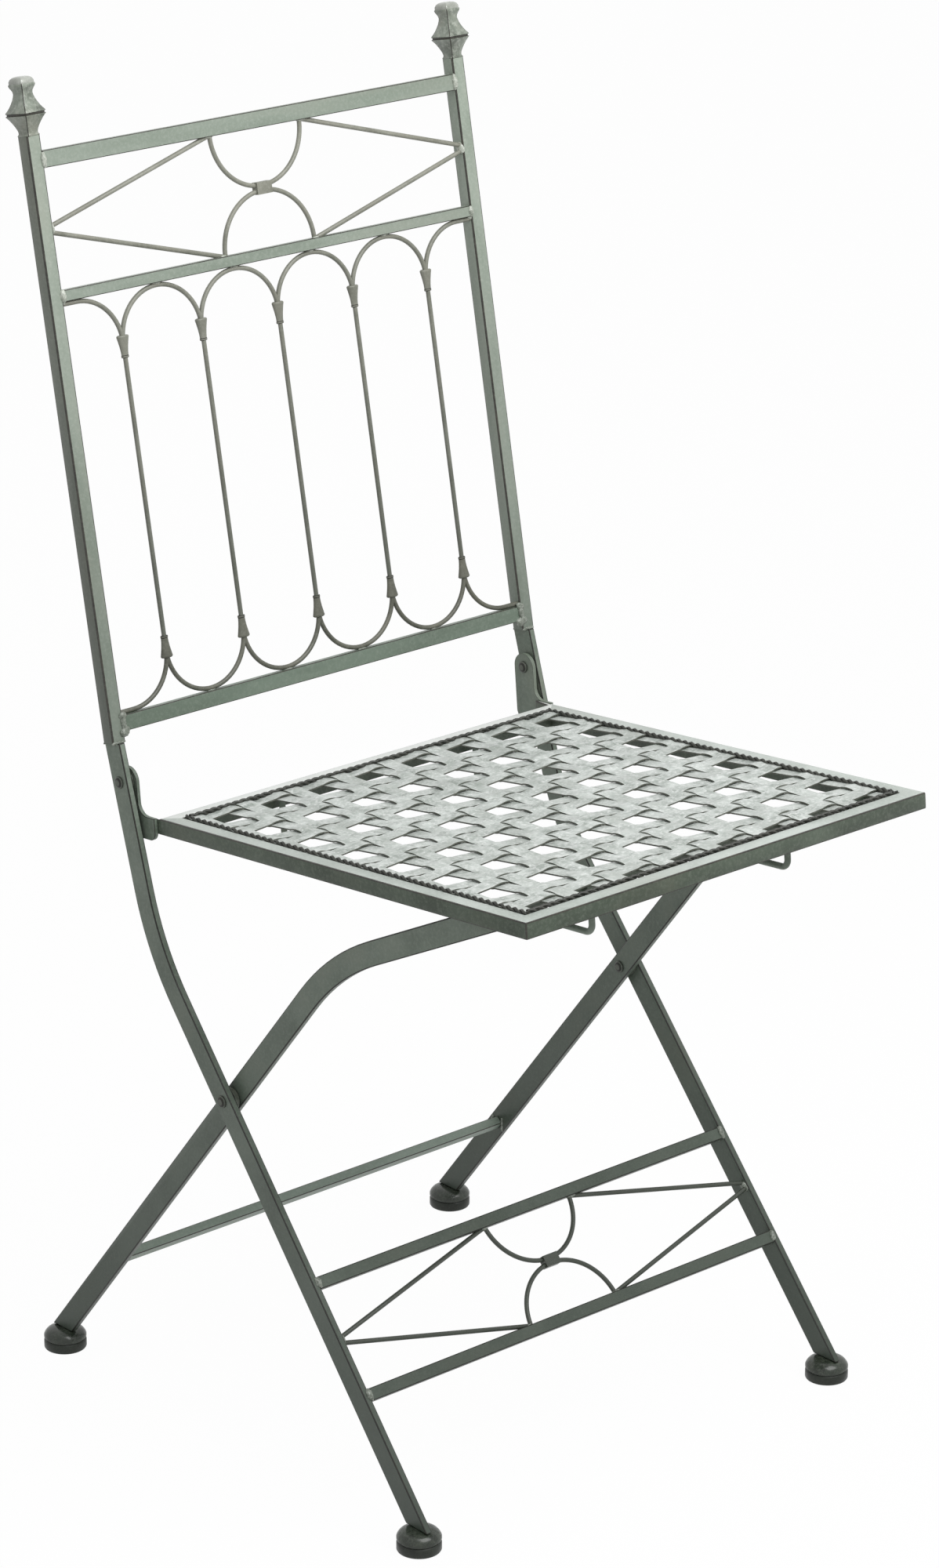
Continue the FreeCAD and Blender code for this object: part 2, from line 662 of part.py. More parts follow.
def seat_strips():
    """Paired flat strips in both directions, with a single strip at each border."""
    half = size("seat_width") / 2 - size("rim_flange")
    front = size("front_flange")
    back = size("seat_length") - size("rim_flange")
    lap = size("strip_lap")
    slit = size("strip_slit")
    under = -size("rim_thickness") - size("strip_thickness")
    pitch = 2 * half / size("openings_across")
    strip = (pitch - size("opening_width") - slit) / 2
    width = "((Sizes.seat_width - 2 * Sizes.rim_flange) / Sizes.openings_across" \
            " - Sizes.opening_width - Sizes.strip_slit) / 2"
    length = "Sizes.seat_length - Sizes.front_flange - Sizes.rim_flange + 2 * Sizes.strip_lap"
    strips = []
    count = int(size("openings_across"))
    for number in range(count):
        for hand in (0, 1):
            middle = -half + (number + 0.5) * pitch
            offset = size("opening_width") / 2
            x = middle + offset if hand else middle - offset - strip
            lengths = (width, length, "Sizes.strip_thickness")
            strips.append(box("strip_along_%d_%d" % (number, hand), lengths, seat_frame,
                              (x, front - lap, under)))
    node("seat_strips_along", compound("seat_strips_along", strips))
    pitch = (back - front) / size("openings_along")
    strip = (pitch - size("opening_length") - slit) / 2
    width = "((Sizes.seat_length - Sizes.front_flange - Sizes.rim_flange) / Sizes.openings_along" \
            " - Sizes.opening_length - Sizes.strip_slit) / 2"
    length = "Sizes.seat_width - 2 * Sizes.rim_flange + 2 * Sizes.strip_lap"
    strips = []
    number = 0
    while back - (number + 0.5) * pitch + size("opening_length") / 2 > front:
        for hand in (0, 1):
            middle = back - (number + 0.5) * pitch
            offset = size("opening_length") / 2
            y = middle + offset if hand else middle - offset - strip
            if y > front:
                lengths = (length, width, "Sizes.strip_thickness")
                strips.append(box("strip_across_%d_%d" % (number, hand), lengths, seat_frame,
                                  (-half - lap, y, under - size("strip_thickness"))))
        number += 1
    node("seat_strips_across", compound("seat_strips_across", strips))


def seat_border():
    """Flat bars on edge under the strips, around the woven panel."""
    half = size("seat_width") / 2 - size("rim_flange")
    front = size("front_flange")
    back = size("seat_length") - size("rim_flange")
    thick = size("border_thickness")
    low = -size("rim_height")
    under_both = "Sizes.rim_height - Sizes.rim_thickness - 2 * Sizes.strip_thickness"
    side_length = "Sizes.seat_length - Sizes.front_flange - Sizes.rim_flange"
    for side, sign in SIDES.items():
        x = half - thick if sign > 0 else -half
        node("seat_border_" + side, box("seat_border_" + side, ("Sizes.border_thickness", side_length,
                                        under_both), seat_frame, (x, front, low)))
    clear = "Sizes.seat_width - 2 * Sizes.rim_flange - 2 * Sizes.border_thickness"
    for end, y in (("front", size("front_border")), ("back", back - thick)):
        node("seat_border_" + end, box("seat_border_" + end, (clear, "Sizes.border_thickness", under_both),
                                       seat_frame, (thick - half, y, low)))


def seat_trim():
    """Rope trim that lies on the strips, along the inner edges of the rim."""
    half = size("seat_width") / 2 - size("rim_flange")
    radius = size("trim_diameter") / 2
    front = size("front_flange")
    back = size("seat_length") - size("rim_flange")
    level = radius - size("rim_thickness")
    side_length = "Sizes.seat_length - Sizes.front_flange - Sizes.rim_flange"
    for side, sign in SIDES.items():
        start = Placement(Vector(sign * (half - radius), front, level), Rotation(X_AXIS, -90))
        node("seat_trim_" + side, cylinder("seat_trim_" + side, "Sizes.trim_diameter / 2",
                                           side_length, seat_frame.multiply(start)))
    cross_length = "Sizes.seat_width - 2 * Sizes.rim_flange - 2 * Sizes.trim_diameter"
    for end, y in (("front", front + radius), ("back", back - radius)):
        start = across(2 * radius - half, y, level)
        node("seat_trim_" + end, cylinder("seat_trim_" + end, "Sizes.trim_diameter / 2",
                                          cross_length, seat_frame.multiply(start)))


def brackets():
    """Plates on the back ends of the side rails, with an ear around the hinge."""
    centre = pivot_on_seat
    ear = size("ear_radius")
    corner = size("bracket_corner")
    fillet = size("bracket_fillet")
    front = size("seat_length") + size("bracket_step")
    low = -size("bracket_drop")
    bevel = 1 - math.sqrt(0.5)

    def at(y, z):
        return Vector(size("seat_width") / 2, y, z)

    ear_front = centre.y - ear
    ear_back = centre.y + ear
    edges = [
        Part.LineSegment(at(front, 0), at(ear_front - fillet, 0)),
        Part.Arc(at(ear_front - fillet, 0), at(ear_front - bevel * fillet, bevel * fillet),
                 at(ear_front, fillet)),
        Part.LineSegment(at(ear_front, fillet), at(ear_front, centre.z)),
        Part.Arc(at(ear_front, centre.z), at(centre.y, centre.z + ear), at(ear_back, centre.z)),
        Part.LineSegment(at(ear_back, centre.z), at(ear_back, low + corner)),
        Part.Arc(at(ear_back, low + corner), at(ear_back - bevel * corner, low + bevel * corner),
                 at(ear_back - corner, low)),
        Part.LineSegment(at(ear_back - corner, low), at(front + corner, low)),
        Part.Arc(at(front + corner, low), at(front + bevel * corner, low + bevel * corner),
                 at(front, low + corner)),
        Part.LineSegment(at(front, low + corner), at(front, 0)),
    ]
    plate = Part.Face(Part.Wire([edge.toShape() for edge in edges]))
    plate = plate.extrude(X_AXIS * size("bracket_thickness"))
    plate.Placement = seat_frame
    mirrored("seat_bracket", hole(plate, pivot, rivet_radius + size("running_fit")))


def crossbar_on_seat():
    return seat_frame.inverse().multVec(crossbar)


def guides():
    """Wires under the seat that keep the crossbar against it, turned up into the strips."""
    radius = size("guide_diameter") / 2
    bend = size("guide_bend")
    low = (crossbar_on_seat().z - size("crossbar_diameter") / 2 - size("guide_play") - radius)
    top = -size("rim_thickness") - 2 * size("strip_thickness")
    front = size("guide_front")
    back = size("guide_back")
    bevel = bend * (1 - math.sqrt(0.5))
    for side, sign in SIDES.items():
        x = sign * size("guide_spacing") / 2
        points = [Vector(x, front, top), Vector(x, front, low + bend),
                  Vector(x, front + bevel, low + bevel), Vector(x, front + bend, low),
                  Vector(x, back - bend, low), Vector(x, back - bevel, low + bevel),
                  Vector(x, back, low + bend), Vector(x, back, top)]
        path = Part.Wire([Part.LineSegment(points[0], points[1]).toShape(),
                          Part.Arc(*points[1:4]).toShape(),
                          Part.LineSegment(points[3], points[4]).toShape(),
                          Part.Arc(*points[4:7]).toShape(),
                          Part.LineSegment(points[6], points[7]).toShape()])
        section = Part.Wire(Part.makeCircle(radius, points[0], Z_AXIS))
        piece = feature("seat_guide_" + side, path.makePipeShell([section], True, True))
        piece.Placement = seat_frame
        node("seat_guide_" + side, piece)


def sliding_crossbar():
    """A rod that runs in the guides, with its ends bent up to the rear bars."""
    half = rear_bar_x(crossbar.y) - size("bar_thickness") / 2 - size("crossbar_play")
    rise = size("crossbar_crank")
    inner = size("guide_spacing") / 2 + size("crank_start")
    level = crossbar_on_seat()
    profile = [(-half, rise), (-inner - rise, rise), (-inner, 0),
               (inner, 0), (inner + rise, rise), (half, rise)]
    points = [Vector(x, level.y, level.z + up) for x, up in profile]
    section = Part.Wire(Part.makeCircle(size("crossbar_diameter") / 2, points[0], X_AXIS))
    piece = feature("crossbar", Part.makePolygon(points).makePipeShell([section], True, False, 2))
    piece.Placement = seat_frame
    node("crossbar", piece)


def write_parts():
    """Checks every object of the document, then writes each sub-part to its file."""
    doc.recompute()
    for piece in doc.Objects:
        if "Invalid" in piece.State or "Error" in piece.State:
            raise RuntimeError("failed object: " + piece.Name)
    for piece in nodes:
        if piece.Shape.isNull() or not piece.Shape.isValid() or not piece.Shape.Solids:
            raise RuntimeError("bad shape: " + piece.Label)
    os.makedirs("parts", exist_ok=True)
    for piece in nodes:
        piece.Shape.exportStep("parts/%s.step" % piece.Label)


uprights()
finials()
back_rails()
frieze()
arcade()
front_legs()
rear_legs()
feet()
brace()
stretcher()
rivets()
seat_rim()
seat_strips()
seat_border()
seat_trim()
brackets()
guides()
sliding_crossbar()
write_parts()
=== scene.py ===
# %% [markdown]
# # A folding garden chair in painted steel
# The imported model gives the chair's true sizes and its moving bodies. This lesson dresses it: painted
# bars with worn edges, a woven strip seat, a twisted rope trim, four-sided finials and domed feet.
# Every length below is in metres, and one millimetre has a name, because chair parts are small.

# %% Load the frame
import json
from math import degrees, pi, radians, sqrt, tau

import bmesh
import bpy
from mathutils import Matrix, Vector, noise


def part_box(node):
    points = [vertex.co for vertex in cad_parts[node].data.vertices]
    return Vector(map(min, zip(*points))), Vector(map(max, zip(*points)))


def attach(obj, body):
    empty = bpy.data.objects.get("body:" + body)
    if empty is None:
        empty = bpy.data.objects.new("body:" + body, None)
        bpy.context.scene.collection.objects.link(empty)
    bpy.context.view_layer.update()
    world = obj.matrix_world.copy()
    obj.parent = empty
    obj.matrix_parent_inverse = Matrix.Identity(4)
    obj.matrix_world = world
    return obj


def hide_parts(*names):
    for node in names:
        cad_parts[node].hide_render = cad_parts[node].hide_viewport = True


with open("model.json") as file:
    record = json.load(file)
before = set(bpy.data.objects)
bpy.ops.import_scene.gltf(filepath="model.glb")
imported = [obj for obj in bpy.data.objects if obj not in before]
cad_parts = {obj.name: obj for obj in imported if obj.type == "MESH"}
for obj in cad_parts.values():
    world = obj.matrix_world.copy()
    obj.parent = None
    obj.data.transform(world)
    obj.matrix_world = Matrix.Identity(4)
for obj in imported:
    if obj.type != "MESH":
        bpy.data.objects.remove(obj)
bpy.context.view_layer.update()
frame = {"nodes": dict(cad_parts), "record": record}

MM = 0.001
ROOT, SEAT, REAR = "back_and_front_legs", "seat", "rear_legs"
scene = bpy.context.scene
scene.view_settings.view_transform = "Standard"

# %% [markdown]
# ## The camera
# The photograph was taken from the chair's front left, a little above the seat. A long lens keeps the
# two uprights nearly parallel, so the camera stands more than three metres away.

# %% Camera
EYE = Vector((-2.197, -2.4826, 1.6651))
LOOK = Vector((0.622, 0.7042, -0.3423))
SENSOR, FOCAL = 36.0, 117.43  # in millimetres, as lenses are marked
SEAT_MIDDLE = Vector((0, 0, 0.46))

lens = bpy.data.cameras.new("photo_lens")
lens.sensor_fit = "VERTICAL"
lens.sensor_height = SENSOR
lens.lens = FOCAL
camera = bpy.data.objects.new("photo_camera", lens)
camera.matrix_world = Matrix.Translation(EYE) @ LOOK.to_track_quat("-Z", "Y").to_matrix().to_4x4()
scene.collection.objects.link(camera)
scene.camera = camera
print("camera distance to the seat:", round((EYE - SEAT_MIDDLE).length, 3))

# %% [markdown]
# ## Studio floor and light
# The chair stands in a white studio. The floor is a pale sheet that shows white to the camera and still
# takes the chair's shadow. The sky is an even white, and one broad lamp above gives the seat its bright
# top and leaves the legs darker, as in the photograph.

# %% Floor
FLOOR_HALF = 6.0
FLOOR_GREY, FLOOR_ROUGHNESS = (0.85, 0.85, 0.85, 1), 0.9
FLOOR_WHITE = 0.97  # share of the floor that glows white to the camera
WHITE = (1, 1, 1, 1)


def white_to_camera(tree, shader, output, share):
    """Mixes a white glow into a surface for rays that come from the camera, from gloss or through glass."""
    path = tree.nodes.new("ShaderNodeLightPath")
    either = tree.nodes.new("ShaderNodeMath")
    either.operation = "MAXIMUM"
    tree.links.new(path.outputs["Is Camera Ray"], either.inputs[0])
    tree.links.new(path.outputs["Is Glossy Ray"], either.inputs[1])
    any_ray = tree.nodes.new("ShaderNodeMath")
    any_ray.operation = "MAXIMUM"
    tree.links.new(either.outputs[0], any_ray.inputs[0])
    tree.links.new(path.outputs["Is Transmission Ray"], any_ray.inputs[1])
    part = tree.nodes.new("ShaderNodeMath")
    part.operation = "MULTIPLY"
    part.inputs[1].default_value = share
    tree.links.new(any_ray.outputs[0], part.inputs[0])
    in_world = shader.bl_idname == "ShaderNodeBackground"
    glow = tree.nodes.new("ShaderNodeBackground" if in_world else "ShaderNodeEmission")
    glow.inputs["Color"].default_value = WHITE
    glow.inputs["Strength"].default_value = 1.0
    mix = tree.nodes.new("ShaderNodeMixShader")
    tree.links.new(part.outputs[0], mix.inputs[0])
    tree.links.new(shader.outputs[0], mix.inputs[1])
    tree.links.new(glow.outputs[0], mix.inputs[2])
    tree.links.new(mix.outputs[0], output.inputs["Surface"])


floor_mesh = bpy.data.meshes.new("studio_floor")
bm = bmesh.new()
bmesh.ops.create_grid(bm, x_segments=1, y_segments=1, size=FLOOR_HALF)
bm.to_mesh(floor_mesh)
bm.free()
studio_floor = bpy.data.objects.new("studio_floor", floor_mesh)
scene.collection.objects.link(studio_floor)
paper = bpy.data.materials.new("white_paper")
paper.use_nodes = True
paper_shader = paper.node_tree.nodes["Principled BSDF"]
paper_shader.inputs["Base Color"].default_value = FLOOR_GREY
paper_shader.inputs["Roughness"].default_value = FLOOR_ROUGHNESS
white_to_camera(paper.node_tree, paper_shader, paper.node_tree.nodes["Material Output"], FLOOR_WHITE)
floor_mesh.materials.append(paper)
print("floor half width:", FLOOR_HALF)

# %% Light
SKY_STRENGTH = 0.5
LAMP_WATTS = 34.0
LAMP_SIZE = 1.5
LAMP_PLACE, LAMP_TARGET = Vector((0.1, -1.0, 2.05)), Vector((0, 0, 0.45))

world = bpy.data.worlds.new("white_studio")
scene.world = world
world.use_nodes = True
sky = world.node_tree.nodes["Background"]
sky.inputs["Color"].default_value = WHITE
sky.inputs["Strength"].default_value = SKY_STRENGTH
white_to_camera(world.node_tree, sky, world.node_tree.nodes["World Output"], 1.0)

lamp_light = bpy.data.lights.new("broad_lamp", "AREA")
lamp_light.energy = LAMP_WATTS
lamp_light.size = LAMP_SIZE
broad_lamp = bpy.data.objects.new("broad_lamp", lamp_light)
aim = (LAMP_TARGET - LAMP_PLACE).to_track_quat("-Z", "Y").to_matrix().to_4x4()
broad_lamp.matrix_world = Matrix.Translation(LAMP_PLACE) @ aim
scene.collection.objects.link(broad_lamp)
print("lamp:", LAMP_WATTS, "W over", LAMP_SIZE, "m")

# %% [markdown]
# ## The paint
# The steel is painted a pale sage green that was rubbed back: it has soft cloudy patches, fine speckle,
# a few brownish stains, and dark brown lines where the paint has gone from the edges. Each paint is a
# ramp of three tones driven by a coarse and a fine noise on Object coordinates, so that the pattern has
# the same scale on every bar. Roughness and bump follow the fine noise.

# %% Patterns and colour mixes
MIX_FIRST, MIX_SECOND, MIX_RESULT = 6, 7, 2  # a mix node's colour sockets, which share names with others


def noise_node(tree, coordinates, scale, detail, rough):
    """A noise texture on a set of coordinates."""
    texture = tree.nodes.new("ShaderNodeTexNoise")
    texture.inputs["Scale"].default_value = scale
    texture.inputs["Detail"].default_value = detail
    texture.inputs["Roughness"].default_value = rough
    tree.links.new(coordinates, texture.inputs["Vector"])
    return texture


def spread(tree, source, low, high, to_low=0.0, to_high=1.0):
    """Stretches a range of a pattern to another range."""
    node = tree.nodes.new("ShaderNodeMapRange")
    node.inputs["From Min"].default_value = low
    node.inputs["From Max"].default_value = high
    node.inputs["To Min"].default_value = to_low
    node.inputs["To Max"].default_value = to_high
    tree.links.new(source, node.inputs["Value"])
    return node.outputs["Result"]


def blend_colours(tree, factor, first, second):
    """A colour mix: each side is a colour or the output of another mix."""
    node = tree.nodes.new("ShaderNodeMix")
    node.data_type = "RGBA"
    tree.links.new(factor, node.inputs["Factor"])
    for socket, value in ((node.inputs[MIX_FIRST], first), (node.inputs[MIX_SECOND], second)):
        if isinstance(value, tuple):
            socket.default_value = (*value, 1)
        else:
            tree.links.new(value, socket)
    return node.outputs[MIX_RESULT]


print("coordinates of every pattern: Object")

# %% A rubbed paint
CLOUD_NOISE, SPECK_NOISE, PATCH_NOISE = (3.0, 0.5), (4.0, 0.7), (6.0, 0.62)  # detail and roughness
CLOUD_SPAN, SPECK_SPAN, PATCH_SPAN, GLOSS_SPAN = (0.34, 0.64), (0.46, 0.72), (0.5, 0.72), (0.3, 0.7)
PATCH_SHARE = 0.5  # scale of the stains beside the clouds
COAT_ROUGHNESS = 0.2
RELIEF = 0.3 * MM
# painted shade: the dark tone that a paint is darkened towards lower down
PAINTED_SHADE_TONE = (0.026, 0.037, 0.027)


def paint(name, base, pale, deep, stain, clouds=26.0, speckle=420.0, gloss=(0.34, 0.52), stained=0.4,
          speckled=0.3, grain=0.1, coat=0.0, shine=0.5, brushed=None, shade_below=None):
    """A rubbed paint: deep, base and pale tones in clouds and speckle, with a few stains. The strokes of a
    brushed paint are drawn out along a bar, and painted shade darkens it from one height down to another."""
    material = bpy.data.materials.new(name)
    material.use_nodes = True
    tree = material.node_tree
    shader = tree.nodes["Principled BSDF"]
    place = tree.nodes.new("ShaderNodeTexCoord")
    strokes = place.outputs["Object"]
    if brushed:
        drawn = tree.nodes.new("ShaderNodeMapping")
        drawn.inputs["Scale"].default_value = brushed
        tree.links.new(place.outputs["Object"], drawn.inputs["Vector"])
        strokes = drawn.outputs["Vector"]
    cloud = noise_node(tree, strokes, clouds, *CLOUD_NOISE)
    speck = noise_node(tree, place.outputs["Object"], speckle, *SPECK_NOISE)
    patch = noise_node(tree, strokes, clouds * PATCH_SHARE, *PATCH_NOISE)
    tone = blend_colours(tree, spread(tree, cloud.outputs["Fac"], *CLOUD_SPAN), deep, base)
    tone = blend_colours(tree, spread(tree, speck.outputs["Fac"], *SPECK_SPAN, 0.0, speckled), tone, pale)
    tone = blend_colours(tree, spread(tree, patch.outputs["Fac"], *PATCH_SPAN, 0.0, stained), tone, stain)
    # painted shade: the paint grows darker from one height down to another
    if shade_below:
        low, high, share = shade_below
        parts = tree.nodes.new("ShaderNodeSeparateXYZ")
        tree.links.new(place.outputs["Object"], parts.inputs["Vector"])
        tone = blend_colours(tree, spread(tree, parts.outputs["Z"], low, high, share, 0.0), tone, PAINTED_SHADE_TONE)
    tree.links.new(tone, shader.inputs["Base Color"])
    tree.links.new(spread(tree, patch.outputs["Fac"], *GLOSS_SPAN, *gloss), shader.inputs["Roughness"])
    shader.inputs["Specular IOR Level"].default_value = shine
    shader.inputs["Coat Weight"].default_value = coat
    shader.inputs["Coat Roughness"].default_value = COAT_ROUGHNESS
    relief = tree.nodes.new("ShaderNodeBump")
    relief.inputs["Strength"].default_value = grain
    relief.inputs["Distance"].default_value = RELIEF
    tree.links.new(speck.outputs["Fac"], relief.inputs["Height"])
    tree.links.new(relief.outputs["Normal"], shader.inputs["Normal"])
    return material


print("painted_shade tone:", PAINTED_SHADE_TONE)

# %% Paints of the back
BACK_SHADE_BELOW, LEG_SHADE_BELOW = (0.50, 0.86, 0.45), (0.0, 0.50, 0.9)  # painted shade lower down: low end, high end, share at the low end
ROD_SHADE_BELOW, LOW_ROD_SHADE_BELOW = (0.55, 0.84, 0.62), (0.30, 0.50, 0.75)
ALONG_X, ALONG_Z = (0.12, 1.0, 1.0), (1.0, 1.0, 0.12)  # strokes drawn out along a bar
sage = paint("sage_paint", (0.262, 0.305, 0.256), (0.43, 0.47, 0.42), (0.20, 0.24, 0.195),
             (0.205, 0.20, 0.158), clouds=60.0, brushed=ALONG_X)
# lit and shaded copies of one paint for the uprights: painted light on the front faces, painted shade on the
# outer faces
lit_upright_sage = paint("lit_upright_sage_paint", (0.32, 0.367, 0.31), (0.50, 0.54, 0.48), (0.235, 0.278, 0.227),
                     (0.22, 0.21, 0.165), clouds=60.0, brushed=ALONG_Z, shade_below=BACK_SHADE_BELOW)
shaded_upright_sage = paint("shaded_upright_sage_paint", (0.18, 0.20, 0.166), (0.31, 0.33, 0.288), (0.12, 0.136, 0.11),
                   (0.125, 0.115, 0.088), clouds=60.0, brushed=ALONG_Z, shade_below=BACK_SHADE_BELOW)
# a darker copy of the rails' paint for the bottom rail: painted shade
shaded_lower_sage = paint("shaded_lower_sage_paint", (0.145, 0.19, 0.148), (0.27, 0.31, 0.262), (0.105, 0.14, 0.105),
                   (0.12, 0.115, 0.082), clouds=60.0, brushed=ALONG_X)
rod_paint = paint("rod_paint", (0.25, 0.255, 0.212), (0.42, 0.42, 0.37), (0.165, 0.168, 0.135),
                  (0.14, 0.122, 0.09), clouds=45.0, shade_below=ROD_SHADE_BELOW)
# a darker copy of the rods' paint for the lower and braced rods: painted shade
shaded_rod_paint = paint("shaded_rod_paint", (0.115, 0.118, 0.092), (0.25, 0.25, 0.21), (0.07, 0.073, 0.055),
                      (0.085, 0.075, 0.052), clouds=45.0, shade_below=LOW_ROD_SHADE_BELOW)
stretcher_sage = paint("stretcher_sage_paint", (0.23, 0.285, 0.24), (0.36, 0.41, 0.36), (0.165, 0.21, 0.17),
                       (0.15, 0.15, 0.11), clouds=60.0, brushed=ALONG_X)
finial_paint = paint("finial_paint", (0.235, 0.27, 0.222), (0.58, 0.61, 0.54), (0.095, 0.112, 0.086),
                     (0.12, 0.105, 0.07), clouds=85.0, speckle=300.0, gloss=(0.14, 0.3), stained=0.6,
                     speckled=0.45, coat=0.3)
cap_paint = paint("cap_paint", (0.36, 0.38, 0.34), (0.66, 0.68, 0.64), (0.20, 0.215, 0.18),
                  (0.15, 0.14, 0.11), clouds=110.0, gloss=(0.08, 0.18), coat=1.0, grain=0.03)
print("paints of the back:", len(bpy.data.materials))

# %% Paints of the legs and the seat
# the legs' paint is darker than the back's, partly as their own colour and partly as painted shade under the
# seat
leg_sage = paint("leg_sage_paint", (0.18, 0.22, 0.178), (0.33, 0.37, 0.318), (0.108, 0.138, 0.106),
                 (0.13, 0.117, 0.085), shine=0.4, shade_below=LEG_SHADE_BELOW)
rim_sage = paint("rim_sage_paint", (0.47, 0.515, 0.48), (0.68, 0.71, 0.685), (0.34, 0.38, 0.345),
                 (0.25, 0.24, 0.20))
# a pale copy of the rim paint for the flange behind the seat: a painted highlight where it catches the light
highlight_sage = paint("highlight_sage_paint", (0.74, 0.77, 0.745), (0.86, 0.87, 0.86), (0.62, 0.65, 0.62),
                  (0.50, 0.50, 0.46))
# a dark copy of the rim paint for faces that look sideways or down: painted shade
shaded_wall_sage = paint("shaded_wall_sage_paint", (0.078, 0.102, 0.074), (0.17, 0.198, 0.158), (0.042, 0.057, 0.039),
                  (0.07, 0.06, 0.041), speckled=0.4, shine=0.4)
strip_paint = paint("strip_paint", (0.53, 0.57, 0.54), (0.86, 0.875, 0.86), (0.27, 0.305, 0.275),
                    (0.17, 0.19, 0.16), clouds=90.0, speckle=330.0, stained=0.55, speckled=0.7,
                    gloss=(0.24, 0.44))
trim_paint = paint("rope_paint", (0.036, 0.038, 0.031), (0.17, 0.18, 0.155), (0.018, 0.02, 0.016),
                   (0.03, 0.027, 0.021), clouds=90.0, gloss=(0.25, 0.42), shine=0.35)
print("with the legs and the seat:", len(bpy.data.materials))

# %% Paints of fittings, welds and worn edges
rivet_paint = paint("rivet_paint", (0.088, 0.102, 0.08), (0.18, 0.20, 0.168), (0.05, 0.06, 0.046),
                    (0.055, 0.048, 0.037), clouds=80.0, shine=0.4)
foot_paint = paint("foot_paint", (0.03, 0.04, 0.028), (0.10, 0.115, 0.09), (0.014, 0.019, 0.013),
                   (0.024, 0.021, 0.015), clouds=90.0, gloss=(0.16, 0.3), shine=0.45, speckled=0.5)
glide_black = paint("glide_rubber", (0.024, 0.03, 0.023), (0.06, 0.068, 0.055), (0.013, 0.016, 0.012),
                    (0.02, 0.02, 0.016), clouds=70.0, gloss=(0.3, 0.5), shine=0.3)
weld_paint = paint("weld_paint", (0.44, 0.47, 0.41), (0.76, 0.78, 0.72), (0.22, 0.245, 0.20),
                   (0.13, 0.11, 0.08), clouds=260.0, speckle=700.0, gloss=(0.18, 0.36), speckled=0.75)
# a darker copy of the weld paint for the lumps low on the chair: painted shade
shaded_weld_paint = paint("shaded_weld_paint", (0.20, 0.225, 0.188), (0.52, 0.55, 0.50), (0.09, 0.105, 0.082),
                       (0.06, 0.05, 0.036), clouds=260.0, speckle=700.0, gloss=(0.18, 0.36), speckled=0.6)
edge_brown = paint("edge_brown", (0.03, 0.028, 0.021), (0.12, 0.125, 0.10), (0.016, 0.015, 0.011),
                   (0.055, 0.046, 0.033), clouds=120.0, gloss=(0.22, 0.42))
leg_edge = paint("leg_edge", (0.014, 0.015, 0.011), (0.05, 0.055, 0.044), (0.008, 0.008, 0.006),
                 (0.03, 0.026, 0.019), clouds=120.0, gloss=(0.3, 0.5), shine=0.3)
# the strips' narrow sides: painted shade of the gaps between the strips
strip_side_shade = paint("strip_side_shade", (0.12, 0.127, 0.106), (0.25, 0.265, 0.23), (0.07, 0.075, 0.06),
                   (0.08, 0.073, 0.057), clouds=120.0, shine=0.3)
print("all paints:", len(bpy.data.materials))

# %% [markdown]
# ## Bars, rails, rods and plates
# Most of the chair is plain bar stock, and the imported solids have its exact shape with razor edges.
# Real bars have small rounded edges, where the paint is worn. A copy of each solid is merged, its flat
# triangles are joined again, and its sharp edges are bevelled. The narrow new faces get the brown edge
# paint. A bevel modifier could do the same, but the operator lets each kind of bar have its own width.

# %% A finished piece


def finish_piece(bm, name, body, materials, nodes=(), crease=24.0):
    """Turns a bmesh into a named object that rides on a body and stands for its nodes."""
    mesh = bpy.data.meshes.new(name)
    for face in bm.faces:
        face.smooth = True
    bm.to_mesh(mesh)
    bm.free()
    mesh.set_sharp_from_angle(angle=radians(crease))
    for material in materials:
        mesh.materials.append(material)
    piece = bpy.data.objects.new(name, mesh)
    scene.collection.objects.link(piece)
    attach(piece, body)
    if nodes:
        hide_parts(*nodes)


BODIES = frame["record"]["behaviour"]["bodies"]
BODY_OF = {node: body for body, nodes in BODIES.items() for node in nodes}
SHARP, FLAT = radians(32), radians(0.6)  # sharper edges are bevelled, flatter ones dissolved
FACING = 0.5  # a face looks along an axis when its normal has more than this along it
SAME_PLACE = 0.001 * MM

# %% A painted bar


def below(normal):
    """Whether a face looks sideways or down, away from the lamp above, where a darker paint stands for
    painted shade.
    """
    return normal.z <= FACING


def painted_bar(node, edge, materials, segments=2, shaded=below, shortest=0.0):
    """A copy of a solid with bevelled, worn edges. Walls inside it, where two rods meet, are dropped. A
    third paint, a darker copy that stands for painted shade, goes on its shaded faces, and edges that are
    shorter than the shortest stay sharp."""
    bm = bmesh.new()
    bm.from_mesh(frame["nodes"][node].data)
    bmesh.ops.remove_doubles(bm, verts=bm.verts, dist=SAME_PLACE)
    seams = {vertex for e in bm.edges if len(e.link_faces) > 2 for vertex in e.verts}
    walls = [face for face in bm.faces if all(vertex in seams for vertex in face.verts)]
    bmesh.ops.delete(bm, geom=walls, context="FACES")
    bmesh.ops.dissolve_limit(bm, angle_limit=FLAT, verts=bm.verts, edges=bm.edges)
    sharp = [e for e in bm.edges if len(e.link_faces) == 2 and e.calc_face_angle() > SHARP
             and (not shortest or (e.is_convex and e.calc_length() > shortest))]
    worn = bmesh.ops.bevel(bm, geom=sharp, offset=edge, offset_type="OFFSET", affect="EDGES",
                           segments=segments, profile=0.5, material=-1, clamp_overlap=True)
    if len(materials) > 2:
        for face in bm.faces:
            face.material_index = 2 if shaded(face.normal) else 0
    for face in worn["faces"]:
        face.material_index = 1
    finish_piece(bm, node + "_painted", BODY_OF[node], materials, [node])


print("edges bevelled from", round(degrees(SHARP)), "degrees")

